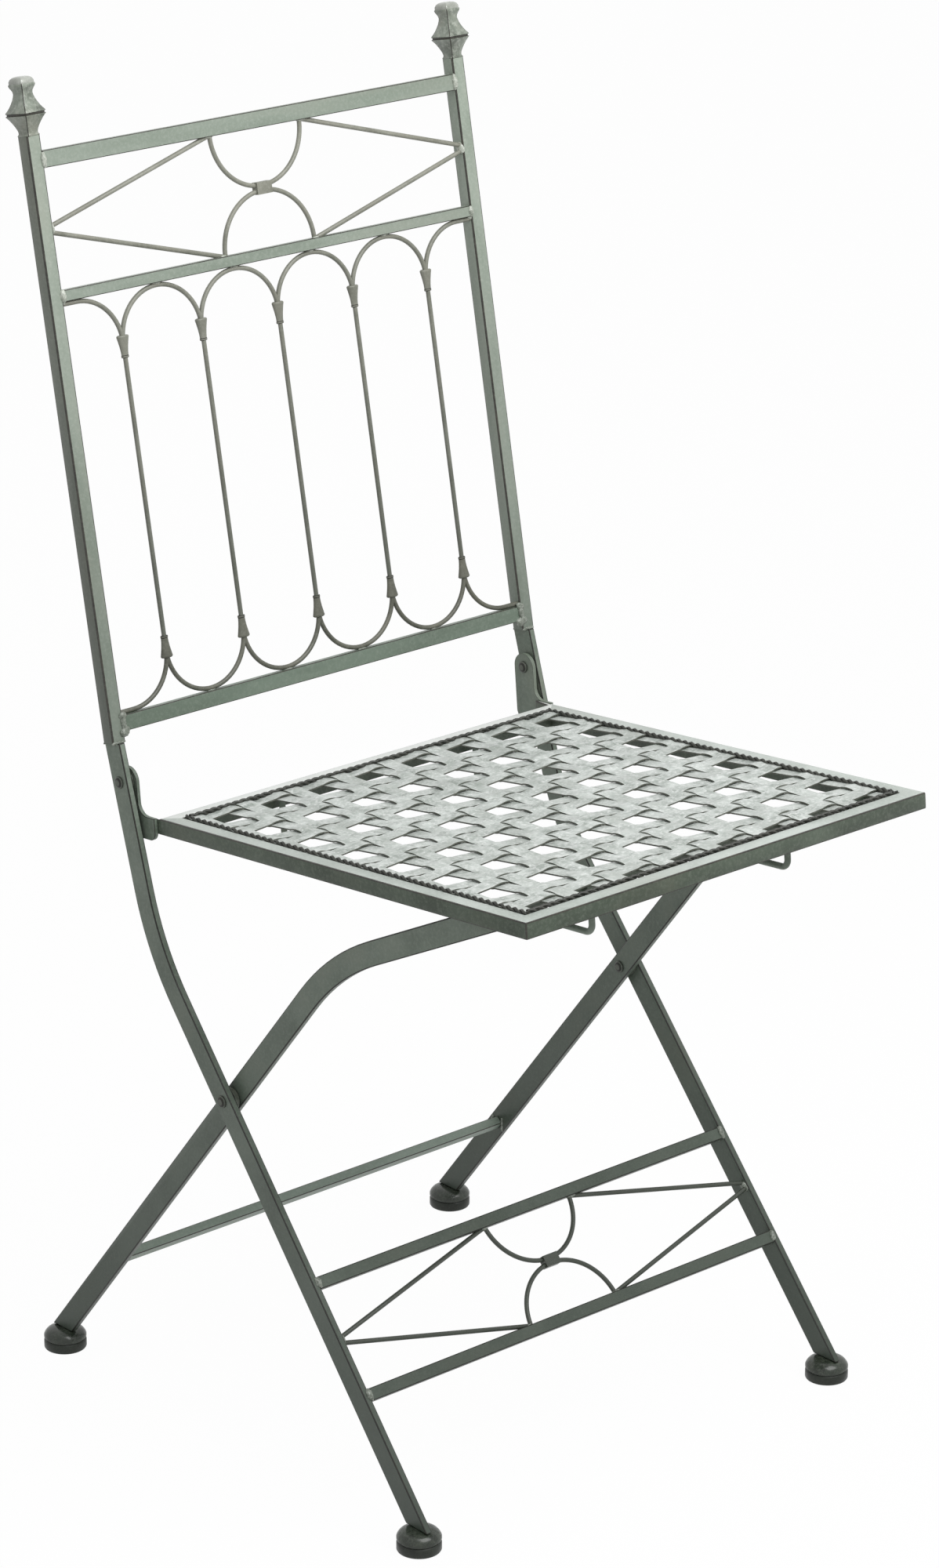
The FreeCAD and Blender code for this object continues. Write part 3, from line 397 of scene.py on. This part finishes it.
# %% Bars of the back
UPRIGHT_WEAR, RAIL_WEAR, ROD_WEAR = 1.1 * MM, 0.6 * MM, 0.3 * MM
# the bottom rail's pair carries the darker copy of the rail paint, as painted shade
BACK_PAINT, LOW_BACK_PAINT = (sage, edge_brown), (shaded_lower_sage, edge_brown)
# the lower rods' pair carries the darker copy of the rod paint, as painted shade
ROD_PAINT, LOW_ROD_PAINT = (rod_paint, edge_brown), (shaded_rod_paint, leg_edge)
LEG_PAINT = (leg_sage, leg_edge)
LONG_EDGE = 100 * MM
# The uprights' front faces take the lighter copy and their outer faces the darker one, as painted light and
# shade.
UPRIGHT_PAINT = (lit_upright_sage, edge_brown, shaded_upright_sage)
painted_bar("upright_left", UPRIGHT_WEAR, UPRIGHT_PAINT, 3, lambda normal: normal.x < -FACING, LONG_EDGE)
painted_bar("upright_right", UPRIGHT_WEAR, UPRIGHT_PAINT, 3, lambda normal: normal.x > FACING, LONG_EDGE)
for node in ("back_rail_middle", "back_rail_top"):
    painted_bar(node, RAIL_WEAR, BACK_PAINT)
painted_bar("back_rail_bottom", RAIL_WEAR, LOW_BACK_PAINT)
for node in ("back_arc_lower", "back_arc_upper", "back_band", "back_rods", "back_spindles"):
    painted_bar(node, ROD_WEAR, ROD_PAINT)
# The arches have no edge that long, so their round rods are not bevelled.
painted_bar("back_arches_top", ROD_WEAR, ROD_PAINT, shortest=LONG_EDGE)
painted_bar("back_arches_bottom", ROD_WEAR, LOW_ROD_PAINT, shortest=LONG_EDGE)

# %% Bars of the legs
SHORT_EDGE = 2 * MM
LEG_WEAR, BRACE_WEAR = 0.8 * MM, 0.7 * MM
for node in ("front_leg_left", "front_leg_right", "rear_leg_left", "rear_leg_right"):
    painted_bar(node, LEG_WEAR, LEG_PAINT, shortest=SHORT_EDGE)
painted_bar("rear_stretcher", RAIL_WEAR, (stretcher_sage, edge_brown))
for node in ("brace_rail_lower", "brace_rail_upper"):
    painted_bar(node, BRACE_WEAR, LEG_PAINT)
for node in ("brace_arc_lower", "brace_arc_upper", "brace_band", "brace_rods", "crossbar"):
    painted_bar(node, ROD_WEAR, LOW_ROD_PAINT)

# %% Fittings of the seat
PLATE_WEAR, RIVET_WEAR = 0.4 * MM, 0.9 * MM
RIVET_PAINT = (rivet_paint, leg_edge)
for node in ("seat_bracket_left", "seat_bracket_right", "seat_guide_left", "seat_guide_right"):
    painted_bar(node, PLATE_WEAR, LEG_PAINT)
# the seat's borders take the darker wall paint, as painted shade
for node in ("seat_border_left", "seat_border_right", "seat_border_front", "seat_border_back"):
    painted_bar(node, ROD_WEAR, (shaded_wall_sage, leg_edge))
for node in ("seat_washer_left", "seat_washer_right", "crossing_spacer_left", "crossing_spacer_right"):
    painted_bar(node, ROD_WEAR, RIVET_PAINT)
for node in ("seat_rivet_left", "seat_rivet_right", "crossing_rivet_left", "crossing_rivet_right"):
    painted_bar(node, RIVET_WEAR, RIVET_PAINT, segments=3)

# %% [markdown]
# ## Leaning frames
# The seat, the back and the front brace all lean. A piece is easier to shape in a frame that leans with
# it, where its faces are level and upright, and to turn into the chair's own frame at the end. The
# sizes of the solids are read in the same leaning frames, so nothing is typed in twice.

# %% Leaning frames
SEAT_LEAN, BACK_LEAN, BRACE_LEAN = radians(5.21), radians(10.76), radians(40.03)
STRIP_STEP = 0.05 * MM  # points closer than this lie on one edge of a strip


def leaned(angle):
    """Turns a frame whose z axis leans backwards by an angle to the chair's own frame."""
    return Matrix.Rotation(-angle, 4, "X")


def points_in(node, angle):
    """A node's vertices, seen in a leaning frame."""
    back = leaned(angle).inverted()
    return [back @ vertex.co for vertex in frame["nodes"][node].data.vertices]


def box_in(node, angle):
    """Lowest and highest corner of a node in a leaning frame."""
    points = points_in(node, angle)
    return (Vector([min(p[k] for p in points) for k in range(3)]),
            Vector([max(p[k] for p in points) for k in range(3)]))


def strip_edges(node, axis):
    """Where the strips of a layer begin and end across their width."""
    places = []
    for place in sorted(p[axis] for p in points_in(node, SEAT_LEAN)):
        if not places or place - places[-1] > STRIP_STEP:
            places.append(place)
    return list(zip(places[0::2], places[1::2]))


for part, lean in (("seat", SEAT_LEAN), ("back", BACK_LEAN), ("brace", BRACE_LEAN)):
    print(part, "leans by", round(degrees(lean), 2), "degrees")

# %% [markdown]
# ## The rim of the seat
# The rim is an angle iron with its corners welded and ground flush, and a flat bar closes it behind. A
# flat face of the seat's size is inset to make the flange, the outer edges of three sides are extruded
# downwards, the two side walls run on behind the seat to the hinge brackets, and solidify gives the sheet
# its thickness. Four separate bars would show seams at the corners, which the real rim does not have.

# %% Rim
RIM_EDGE = 0.9 * MM
RIM_NODES = ["seat_rail_left", "seat_rail_right", "seat_rail_front", "seat_rail_back"]
left_low, left_high = box_in("seat_rail_left", SEAT_LEAN)
right_high = box_in("seat_rail_right", SEAT_LEAN)[1]
front_low, front_high = box_in("seat_rail_front", SEAT_LEAN)
back_low, back_high = box_in("seat_rail_back", SEAT_LEAN)
sheet = front_high.z - box_in("seat_strips_along", SEAT_LEAN)[1].z
flange = left_high.x - left_low.x
tab = left_high.y - back_high.y
print("rim sheet:", round(sheet, 5), "flange:", round(flange, 5), "walls behind the seat:", round(tab, 5))


def made_verts(made):
    """The vertices among what an operator made."""
    return [part for part in made if isinstance(part, bmesh.types.BMVert)]


bm = bmesh.new()
plate = bmesh.ops.create_grid(bm, x_segments=1, y_segments=1, size=1.0)
for vertex in plate["verts"]:
    x = right_high.x if vertex.co.x > 0 else left_low.x
    y = back_high.y if vertex.co.y > 0 else front_low.y
    vertex.co = (x, y, front_high.z)
panel = bm.faces[:]
bmesh.ops.inset_region(bm, faces=panel, thickness=flange, use_boundary=True, use_even_offset=True)
for vertex in panel[0].verts:
    vertex.co.y = back_low.y if vertex.co.y > left_low.y + flange * 2 else front_high.y
bmesh.ops.delete(bm, geom=panel, context="FACES_ONLY")
outer = [edge for edge in bm.edges if edge.is_boundary
         and (all(vertex.co.x < left_low.x + RIM_EDGE for vertex in edge.verts)
              or all(vertex.co.x > right_high.x - RIM_EDGE for vertex in edge.verts)
              or all(vertex.co.y < front_low.y + RIM_EDGE for vertex in edge.verts))]
wall = bmesh.ops.extrude_edge_only(bm, edges=outer)["geom"]
bmesh.ops.translate(bm, verts=made_verts(wall), vec=(0, 0, front_low.z - front_high.z))
wall_ends = [edge for edge in bm.edges if edge.is_boundary
             and abs(edge.verts[0].co.z - edge.verts[1].co.z) > RIM_EDGE]
tabs = bmesh.ops.extrude_edge_only(bm, edges=wall_ends)["geom"]
bmesh.ops.translate(bm, verts=made_verts(tabs), vec=(0, tab, 0))
bmesh.ops.recalc_face_normals(bm, faces=bm.faces)
if max(bm.faces, key=lambda face: face.calc_center_median().z).normal.z < 0:
    bmesh.ops.reverse_faces(bm, faces=bm.faces)
bmesh.ops.solidify(bm, geom=bm.faces[:], thickness=sheet)
bmesh.ops.recalc_face_normals(bm, faces=bm.faces)
corners = [edge for edge in bm.edges if len(edge.link_faces) == 2 and edge.calc_face_angle() > SHARP
           and edge.is_convex and edge.calc_length() > sheet * 2]
worn = bmesh.ops.bevel(bm, geom=corners, offset=RIM_EDGE, offset_type="OFFSET", affect="EDGES",
                       segments=2, profile=0.5, material=-1, clamp_overlap=True)
# faces that look sideways or down get the darker copy as painted shade, and the flange behind the seat a
# paler copy as a painted highlight
for face in bm.faces:
    behind = face.calc_center_median().y > back_low.y
    face.material_index = 2 if below(face.normal) else 3 if behind else 0
for face in worn["faces"]:
    face.material_index = 1
print("rim faces:", len(bm.faces))
bmesh.ops.transform(bm, matrix=leaned(SEAT_LEAN), verts=bm.verts)
RIM_PAINT = [rim_sage, edge_brown, shaded_wall_sage, highlight_sage]
finish_piece(bm, "seat_rim", SEAT, RIM_PAINT, RIM_NODES)

# %% [markdown]
# ## The woven seat
# The seat is plaited from flat steel strips that lie in pairs, both ways. Each strip passes over one
# strip and under the next: it arches over a crossing, drops quickly in the slit inside a pair and
# climbs slowly across the open gap between pairs. A flat strip is a grid with one row of vertices for
# each station along it, and the height of a station comes from the crossings on either side. Solidify
# then gives the strip its thickness. An image of a weave would be flat, and the dark lens-shaped gaps
# between the strips would be missing.

# %% Places of the strips
along = strip_edges("seat_strips_along", 0)
crosswise = strip_edges("seat_strips_across", 1)
print("strips along:", len(along), "crosswise:", len(crosswise))

# %% How a strip is woven
ARCH, LIFT, STRIP, CROWN = 1.5 * MM, 0.56 * MM, 1.05 * MM, 0.15 * MM
PAIR_SLIT = 2 * MM  # strips closer than this are a pair
SLIT = 0.05 * MM  # taken off each side of a strip
WEAVE_LEVEL = 1.2 * MM
ACROSS_STEPS = 4
CROSSING_STATIONS = (-1, -0.85, -0.6, -0.3, 0, 0.3, 0.6, 0.85, 1)
GAP_STATIONS = (0.2, 0.5, 0.8)
WEAVE_CREASE = 40.0


def first_of_pair(strips):
    """For each strip, whether it is the lower of its pair: the strips take turns."""
    starts_pair = strips[1][0] - strips[0][1] < PAIR_SLIT
    return [starts_pair == (k % 2 == 0) for k in range(len(strips))]


def stations(crossings, start, end):
    """Places along a strip, closer together where it bends."""
    places = {start, end}
    for low, high in crossings:
        middle, half = (low + high) / 2, (high - low) / 2
        places.update(middle + half * share for share in CROSSING_STATIONS)
    for (_, high), (low, _) in zip(crossings, crossings[1:]):
        places.update(high + (low - high) * share for share in GAP_STATIONS)
    return sorted(place for place in places if start <= place <= end)


def height_at(place, crossings, signs):
    """Height of a strip's middle: an arch over each crossing and a ramp between two of them."""
    for (low, high), sign in zip(crossings, signs):
        if low <= place <= high:
            share = (2 * place - low - high) / (high - low)
            return sign * (LIFT + (ARCH - LIFT) * (1 - share * share))
    for k in range(len(crossings) - 1):
        if crossings[k][1] < place < crossings[k + 1][0]:
            share = (place - crossings[k][1]) / (crossings[k + 1][0] - crossings[k][1])
            return LIFT * (signs[k] + (signs[k + 1] - signs[k]) * share)
    return 0.0


def woven_strip(bm, low, high, places, crossings, signs, level, lengthways):
    """One plaited strip: a grid that is set on its stations, then thickened."""
    made = bmesh.ops.create_grid(bm, x_segments=len(places) - 1, y_segments=ACROSS_STEPS, size=1.0)
    for vertex in made["verts"]:
        station = round((vertex.co.x + 1) / 2 * (len(places) - 1))
        share = vertex.co.y
        place = places[station]
        rise = level + height_at(place, crossings, signs) + CROWN * (1 - share * share) - STRIP / 2
        side = (low + high) / 2 + share * (high - low) / 2
        vertex.co = (side, place, rise) if lengthways else (place, side, rise)
    fresh = set(made["verts"])
    faces = [face for face in bm.faces if face.verts[0] in fresh]
    bmesh.ops.recalc_face_normals(bm, faces=faces)
    if faces[0].normal.z < 0:
        bmesh.ops.reverse_faces(bm, faces=faces)
    bmesh.ops.solidify(bm, geom=faces, thickness=-STRIP)


def darken_edges(bm):
    """Turns the faces of the strips outwards and gives their narrow sides the second paint, a dark one that
    stands for painted shade in the gaps between the strips.
    """
    bmesh.ops.recalc_face_normals(bm, faces=bm.faces)
    for face in bm.faces:
        face.material_index = 0 if abs(face.normal.z) > FACING else 1


print("a strip rises", round(ARCH / MM, 2), "mm at a crossing")

# %% Woven strips
low_along, high_along = box_in("seat_strips_along", SEAT_LEAN)
low_cross, high_cross = box_in("seat_strips_across", SEAT_LEAN)
weave_level = (low_cross.z + high_along.z) / 2 + WEAVE_LEVEL
WEAVE_PAINT = [strip_paint, strip_side_shade]
lefts, fronts = first_of_pair(along), first_of_pair(crosswise)

bm = bmesh.new()
places = stations(crosswise, low_along.y, high_along.y)
for (low, high), left in zip(along, lefts):
    signs = [-1 if left == front else 1 for front in fronts]
    woven_strip(bm, low + SLIT, high - SLIT, places, crosswise, signs, weave_level, True)
darken_edges(bm)
bmesh.ops.transform(bm, matrix=leaned(SEAT_LEAN), verts=bm.verts)
print("strips along, faces:", len(bm.faces))
finish_piece(bm, "woven_strips_along", SEAT, WEAVE_PAINT, ["seat_strips_along"], WEAVE_CREASE)

bm = bmesh.new()
places = stations(along, low_cross.x, high_cross.x)
for (low, high), front in zip(crosswise, fronts):
    signs = [1 if left == front else -1 for left in lefts]
    woven_strip(bm, low + SLIT, high - SLIT, places, along, signs, weave_level, False)
darken_edges(bm)
bmesh.ops.transform(bm, matrix=leaned(SEAT_LEAN), verts=bm.verts)
print("strips across, faces:", len(bm.faces))
finish_piece(bm, "woven_strips_across", SEAT, WEAVE_PAINT, ["seat_strips_across"], WEAVE_CREASE)

# %% [markdown]
# ## The rope trim
# Along the inner edge of the rim lies a rope of two twisted wires. Each wire is a small circle that a
# screw motion carries along the rope: spin turns it about the rope's middle and shifts it a little with
# every step. Two such wires, half a turn apart, lie against each other as in a real twist.

# %% Twisted rope
ROPE_PITCH, WIRE_SIDES, STEPS_PER_TURN = 13.0 * MM, 8, 14
WIRE_SHARE = 0.55  # a wire's radius beside the rope's
ROPE_CREASE = 60.0


def twisted_rope(bm, start, end, radius):
    """Two wires twisted about the line from start to end."""
    line = end - start
    turns = line.length / ROPE_PITCH
    steps = round(turns * STEPS_PER_TURN)
    wire = radius * WIRE_SHARE
    heading = line.normalized()
    first = heading.orthogonal().normalized()
    facing = heading.to_track_quat("Z", "X").to_matrix().to_4x4()
    for strand in (0, 1):
        out = Matrix.Rotation(pi * strand, 4, heading) @ first
        place = Matrix.Translation(start + out * (radius - wire)) @ facing
        circle = bmesh.ops.create_circle(bm, segments=WIRE_SIDES, radius=wire, matrix=place, cap_ends=False)
        edges = [edge for edge in bm.edges if edge.is_wire]
        bmesh.ops.spin(bm, geom=circle["verts"] + edges, cent=start, axis=heading, dvec=line / steps,
                       angle=tau * turns, steps=steps, use_merge=False)
    bmesh.ops.holes_fill(bm, edges=[edge for edge in bm.edges if edge.is_boundary], sides=WIRE_SIDES)
    bmesh.ops.recalc_face_normals(bm, faces=bm.faces)


for side in ("left", "right", "front", "back"):
    node = "seat_trim_" + side
    low, high = box_in(node, SEAT_LEAN)
    middle = (low + high) / 2
    half = (high - low) / 2
    reach = Vector((0, half.y, 0)) if side in ("left", "right") else Vector((half.x, 0, 0))
    bm = bmesh.new()
    twisted_rope(bm, middle - reach, middle + reach, half.z)
    bmesh.ops.transform(bm, matrix=leaned(SEAT_LEAN), verts=bm.verts)
    print(node, "faces:", len(bm.faces))
    finish_piece(bm, "rope_trim_" + side, SEAT, [trim_paint], [node], ROPE_CREASE)

# %% [markdown]
# ## The finials
# Each upright ends in a four-sided knob: a thin neck, a belt with a groove, a second neck and a button
# with a domed top. A square is extruded upwards ring by ring, and each ring is scaled to the knob's
# outline. The four corner edges are bevelled a little, so that they catch the light.

# %% Finials
FINIAL_OUTLINE = [  # half side and height above the tube, in millimetres
    (5.3, 0.0), (5.5, 0.5), (5.1, 1.1), (4.75, 1.8), (4.75, 3.0), (5.1, 4.6), (5.9, 6.8), (6.95, 9.2),
    (8.05, 11.4), (9.15, 13.2), (9.75, 14.0), (9.8, 14.3), (9.2, 14.7), (9.2, 15.5), (9.8, 15.9),
    (9.6, 16.6), (8.5, 18.2), (7.4, 20.2), (6.4, 22.5), (5.55, 24.8), (5.0, 27.0), (4.75, 28.7),
    (4.95, 30.2), (5.6, 31.8), (6.3, 33.2), (6.6, 34.3), (6.5, 35.0), (6.15, 35.3), (6.25, 35.8), (6.1, 37.2),
    (5.4, 38.6), (4.2, 39.6), (2.4, 40.15), (0.8, 40.3)]
CORNER = 0.45 * MM
GROOVE = (14.35, 15.8)  # heights of the belt's groove, painted dark as painted shade, in millimetres
CAP = 35.2  # height where the shiny cap begins
FINIAL_CREASE = 38.0
TWIST = {"left": radians(9), "right": radians(4)}


def finial(side):
    """A four-sided knob on top of an upright."""
    node = "finial_" + side
    low, high = box_in(node, BACK_LEAN)
    middle = (low + high) / 2
    bm = bmesh.new()
    half = FINIAL_OUTLINE[0][0]
    turn = Matrix.Rotation(pi / 4 + TWIST[side], 4, "Z")
    place = Matrix.Translation((middle.x, middle.y, low.z)) @ turn
    bmesh.ops.create_circle(bm, segments=4, radius=half * MM * sqrt(2), matrix=place, cap_ends=True)
    edges = bm.edges[:]
    uprising = []
    for (before, base), (after, top) in zip(FINIAL_OUTLINE, FINIAL_OUTLINE[1:]):
        made = bmesh.ops.extrude_edge_only(bm, edges=edges)["geom"]
        verts = made_verts(made)
        edges = [part for part in made if isinstance(part, bmesh.types.BMEdge)]
        bmesh.ops.translate(bm, verts=verts, vec=(0, 0, (top - base) * MM))
        centre = Matrix.Translation((-middle.x, -middle.y, 0))
        bmesh.ops.scale(bm, verts=verts, vec=(after / before, after / before, 1), space=centre)
        uprising += [edge for vertex in verts for edge in vertex.link_edges if edge not in edges]
    bmesh.ops.contextual_create(bm, geom=edges)
    worn = bmesh.ops.bevel(bm, geom=uprising, offset=CORNER, offset_type="OFFSET",
                           affect="EDGES", segments=2, profile=0.5, material=-1, clamp_overlap=True)
    for face in worn["faces"]:
        face.material_index = 1
    # the groove takes the dark edge paint, as painted shade in it
    groove = [low.z + height * MM for height in GROOVE]
    for face in bm.faces:
        height = face.calc_center_median().z
        if groove[0] < height < groove[1]:
            face.material_index = 1
        elif height > low.z + CAP * MM:
            face.material_index = 2
    bmesh.ops.recalc_face_normals(bm, faces=bm.faces)
    bmesh.ops.transform(bm, matrix=leaned(BACK_LEAN), verts=bm.verts)
    print(node, "faces:", len(bm.faces), "height:", round(high.z - low.z, 4))
    finish_piece(bm, node + "_knob", ROOT, [finial_paint, edge_brown, cap_paint], [node],
                 FINIAL_CREASE)


for side in ("left", "right"):
    finial(side)

# %% [markdown]
# ## The feet
# Each leg stands in a round foot: a dark glide below and a metal dome above. Both are turned shapes, so
# an outline of a few points is spun once about a vertical axis and closed.

# %% Feet and glides
DOME_OUTLINE = [  # radius and height as shares of the solid's own radius and height
    (0.0, 0.0), (0.92, 0.0), (0.92, 0.10), (1.0, 0.16), (1.0, 0.34), (0.975, 0.45), (0.93, 0.58),
    (0.85, 0.74), (0.72, 0.88), (0.55, 0.96), (0.40, 1.0), (0.0, 1.0)]
GLIDE_OUTLINE = [
    (0.0, 0.0), (0.90, 0.0), (0.97, 0.07), (1.0, 0.18), (1.0, 0.80), (0.98, 0.92), (0.93, 1.0), (0.0, 1.0)]
TURN_STEPS = 48
POLE = 0.01 * MM  # points this close on the axis are one
FOOT_CREASE = 35.0


def turned_piece(node, name, outline, material):
    """Spins an outline about the upright middle line of a node."""
    low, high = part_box(node)
    middle = (Vector(low) + Vector(high)) / 2
    radius, height = (high[0] - low[0]) / 2, high[2] - low[2]
    bm = bmesh.new()
    chain = [bm.verts.new((middle.x + out * radius, middle.y, low[2] + up * height))
             for out, up in outline]
    edges = [bm.edges.new(pair) for pair in zip(chain, chain[1:])]
    bmesh.ops.spin(bm, geom=chain + edges, cent=(middle.x, middle.y, 0), axis=(0, 0, 1), angle=tau,
                   steps=TURN_STEPS, use_merge=True)
    bmesh.ops.remove_doubles(bm, verts=bm.verts, dist=POLE)
    bmesh.ops.recalc_face_normals(bm, faces=bm.faces)
    finish_piece(bm, name, BODY_OF[node], [material], [node], FOOT_CREASE)
    return radius


for end in ("front", "rear"):
    for side in ("left", "right"):
        foot, glide = "%s_foot_%s" % (end, side), "%s_glide_%s" % (end, side)
        radius = turned_piece(foot, foot + "_dome", DOME_OUTLINE, foot_paint)
        turned_piece(glide, glide + "_ring", GLIDE_OUTLINE, glide_black)
        print(foot, "radius:", round(radius, 4))

# %% [markdown]
# ## The ferrules
# A pinched collar holds each spindle and the ends of two arches together. It is a small bell: narrow
# around the spindle, where it has a rolled lip, and wide around the two rods. The outline is spun about
# the spindle and then squeezed, because the two rods lie side by side.

# %% Ferrules
FERRULE_OUTLINE = [  # radius and height from the narrow end, as shares
    (0.0, 0.0), (0.55, 0.0), (0.60, 0.03), (0.60, 0.08), (0.55, 0.12), (0.59, 0.3), (0.69, 0.52),
    (0.83, 0.74), (0.93, 0.88), (0.97, 0.93), (0.93, 0.97), (0.78, 1.0), (0.0, 1.0)]
FERRULE_WIDTH, FERRULE_SQUEEZE = 5.1 * MM, 0.58
FERRULE_STEPS, FERRULE_CREASE = 20, 50.0
LIP, LIP_LINE = 0.03, (0.085, 0.11)  # dark shares of the height, from the narrow end: the lip's rim, and a line of painted shade in the crease under it
SPINDLES, SPINDLE_PITCH = 5, 68.4 * MM


def ferrules(node, paint_pair, wide_end_up):
    """Five bells at the places of a row of ferrules."""
    low, high = box_in(node, BACK_LEAN)
    y = (low.y + high.y) / 2
    bm = bmesh.new()
    for k in range(SPINDLES):
        x = SPINDLE_PITCH * (k - (SPINDLES - 1) / 2)
        chain = []
        for out, share in FERRULE_OUTLINE:
            up = share if wide_end_up else 1 - share
            chain.append(bm.verts.new((x + out * FERRULE_WIDTH, y, low.z + up * (high.z - low.z))))
        edges = [bm.edges.new(pair) for pair in zip(chain, chain[1:])]
        bmesh.ops.spin(bm, geom=chain + edges, cent=(x, y, 0), axis=(0, 0, 1), angle=tau,
                       steps=FERRULE_STEPS, use_merge=True)
    bmesh.ops.remove_doubles(bm, verts=bm.verts, dist=POLE)
    bmesh.ops.scale(bm, verts=bm.verts, vec=(1, FERRULE_SQUEEZE, 1),
                    space=Matrix.Translation((0, -y, 0)))
    bmesh.ops.recalc_face_normals(bm, faces=bm.faces)
    for face in bm.faces:
        share = (face.calc_center_median().z - low.z) / (high.z - low.z)
        share = share if wide_end_up else 1 - share
        face.material_index = 1 if share < LIP or LIP_LINE[0] < share < LIP_LINE[1] else 0
    bmesh.ops.transform(bm, matrix=leaned(BACK_LEAN), verts=bm.verts)
    print(node, "faces:", len(bm.faces))
    finish_piece(bm, node + "_bells", ROOT, paint_pair, [node], FERRULE_CREASE)


ferrules("back_ferrules_top", ROD_PAINT, True)
ferrules("back_ferrules_bottom", LOW_ROD_PAINT, False)

# %% [markdown]
# ## The weld lumps
# The bars are welded together, and each weld left a rough lump that the paint did not hide. A lump is a
# ball, drawn out along the joint, whose points are moved in or out by a noise on their own place. No two
# lumps are alike, and every run gives the same ones.

# %% How a weld is made
LUMP_ROUGHNESS = ((0.35, 260.0), (0.16, 800.0))  # share of the radius, and grain
LUMP_CREASE = 60.0
RAIL_END = (2.3, 1.9)  # half sizes of lumps, in millimetres
ROD_END, ROD_FOOT_LUMP = (2.3, 2.8, 4.6), (3.8, 2.2, 1.3)
ARCH_TOUCH, ARCH_END = (4.0, 2.0, 1.2), (2.6, 2.6, 2.4)
CORNER_BELOW, CORNER_ABOVE = (4.6, 1.9, 3.6), (3.4, 1.7, 2.6)
UPRIGHT_END, STRETCHER_END = (1.2, 1.5), (1.3, 1.3)
ROD_FOOT = 41.5 * MM  # the rods' feet stand this far from the middle


def weld_lump(bm, place, size):
    """A rough lump of metal with three half sizes, in millimetres."""
    centre = Vector(place)
    shape = Matrix.Translation(centre) @ Matrix.Diagonal(Vector(size) * MM).to_4x4()
    ball = bmesh.ops.create_icosphere(bm, subdivisions=3, radius=1.0, matrix=shape)
    for vertex in ball["verts"]:
        swell = sum(share * noise.noise(vertex.co * grain) for share, grain in LUMP_ROUGHNESS)
        vertex.co += (vertex.co - centre) * swell


def end_lumps(bm, node, lean):
    """Lumps at both ends of a rail, in front and behind."""
    low, high = box_in(node, lean)
    half = (high.z - low.z) / 2 / MM
    for x in (low.x, high.x):
        for y in (low.y, high.y):
            weld_lump(bm, (x, y, (low.z + high.z) / 2), (*RAIL_END, half))


def frieze_lumps(bm, rods, lower_rail, upper_rail, lean):
    """Lumps at the feet of the arcs and slanted rods between two rails."""
    low, high = box_in(rods, lean)
    y, z = (low.y + high.y) / 2, (low.z + high.z) / 2
    for x in (low.x, high.x):
        weld_lump(bm, (x, y, z), ROD_END)
    for x in (-ROD_FOOT, ROD_FOOT):
        weld_lump(bm, (x, y, box_in(lower_rail, lean)[1].z), ROD_FOOT_LUMP)
        weld_lump(bm, (x, y, box_in(upper_rail, lean)[0].z), ROD_FOOT_LUMP)


def row_lumps(bm, node, rail_side):
    """Lumps where a row of arches touches its rail and the uprights."""
    low, high = box_in(node, BACK_LEAN)
    y, z = (low.y + high.y) / 2, (low.z, high.z)[rail_side]
    arches = SPINDLES - 1
    for k in range(arches):
        weld_lump(bm, (SPINDLE_PITCH * (k - (arches - 1) / 2), y, z), ARCH_TOUCH)
    for x in (low.x, high.x):
        weld_lump(bm, (x, y, z), ARCH_END)


def finish_lumps(bm, name, body, material):
    """Prints and finishes a set of lumps, which stand for no node."""
    print(name, "faces:", len(bm.faces))
    finish_piece(bm, name, body, [material], (), LUMP_CREASE)


print("a lump where an arch touches its rail:", ARCH_TOUCH, "mm")

# %% Weld lumps
bm = bmesh.new()
for node in ("back_rail_top", "back_rail_middle"):
    end_lumps(bm, node, BACK_LEAN)
frieze_lumps(bm, "back_rods", "back_rail_middle", "back_rail_top", BACK_LEAN)
row_lumps(bm, "back_arches_top", 1)
bmesh.ops.transform(bm, matrix=leaned(BACK_LEAN), verts=bm.verts)
finish_lumps(bm, "weld_lumps_upper_back", ROOT, weld_paint)

# The lumps low on the chair take the darker weld paint, as painted shade.
bm = bmesh.new()
end_lumps(bm, "back_rail_bottom", BACK_LEAN)
low, high = box_in("back_rail_bottom", BACK_LEAN)
for x in (low.x, high.x):
    weld_lump(bm, (x, low.y, low.z), CORNER_BELOW)
    weld_lump(bm, (x, low.y, high.z), CORNER_ABOVE)
row_lumps(bm, "back_arches_bottom", 0)
for side in ("left", "right"):
    low, high = box_in("upright_" + side, BACK_LEAN)
    half = (high.x - low.x) / 2 / MM
    for y in (low.y, high.y):
        weld_lump(bm, ((low.x + high.x) / 2, y, low.z), (half, *UPRIGHT_END))
bmesh.ops.transform(bm, matrix=leaned(BACK_LEAN), verts=bm.verts)
finish_lumps(bm, "weld_lumps_lower_back", ROOT, shaded_weld_paint)

bm = bmesh.new()
for node in ("brace_rail_lower", "brace_rail_upper"):
    end_lumps(bm, node, BRACE_LEAN)
frieze_lumps(bm, "brace_rods", "brace_rail_lower", "brace_rail_upper", BRACE_LEAN)
bmesh.ops.transform(bm, matrix=leaned(BRACE_LEAN), verts=bm.verts)
finish_lumps(bm, "weld_lumps_brace", ROOT, shaded_weld_paint)

bm = bmesh.new()
low, high = (Vector(corner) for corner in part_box("rear_stretcher"))
for x in (low.x, high.x):
    for y in (low.y, high.y):
        weld_lump(bm, (x, y, (low.z + high.z) / 2), (*STRETCHER_END, (high.z - low.z) / 2 / MM))
finish_lumps(bm, "weld_lumps_stretcher", REAR, shaded_weld_paint)
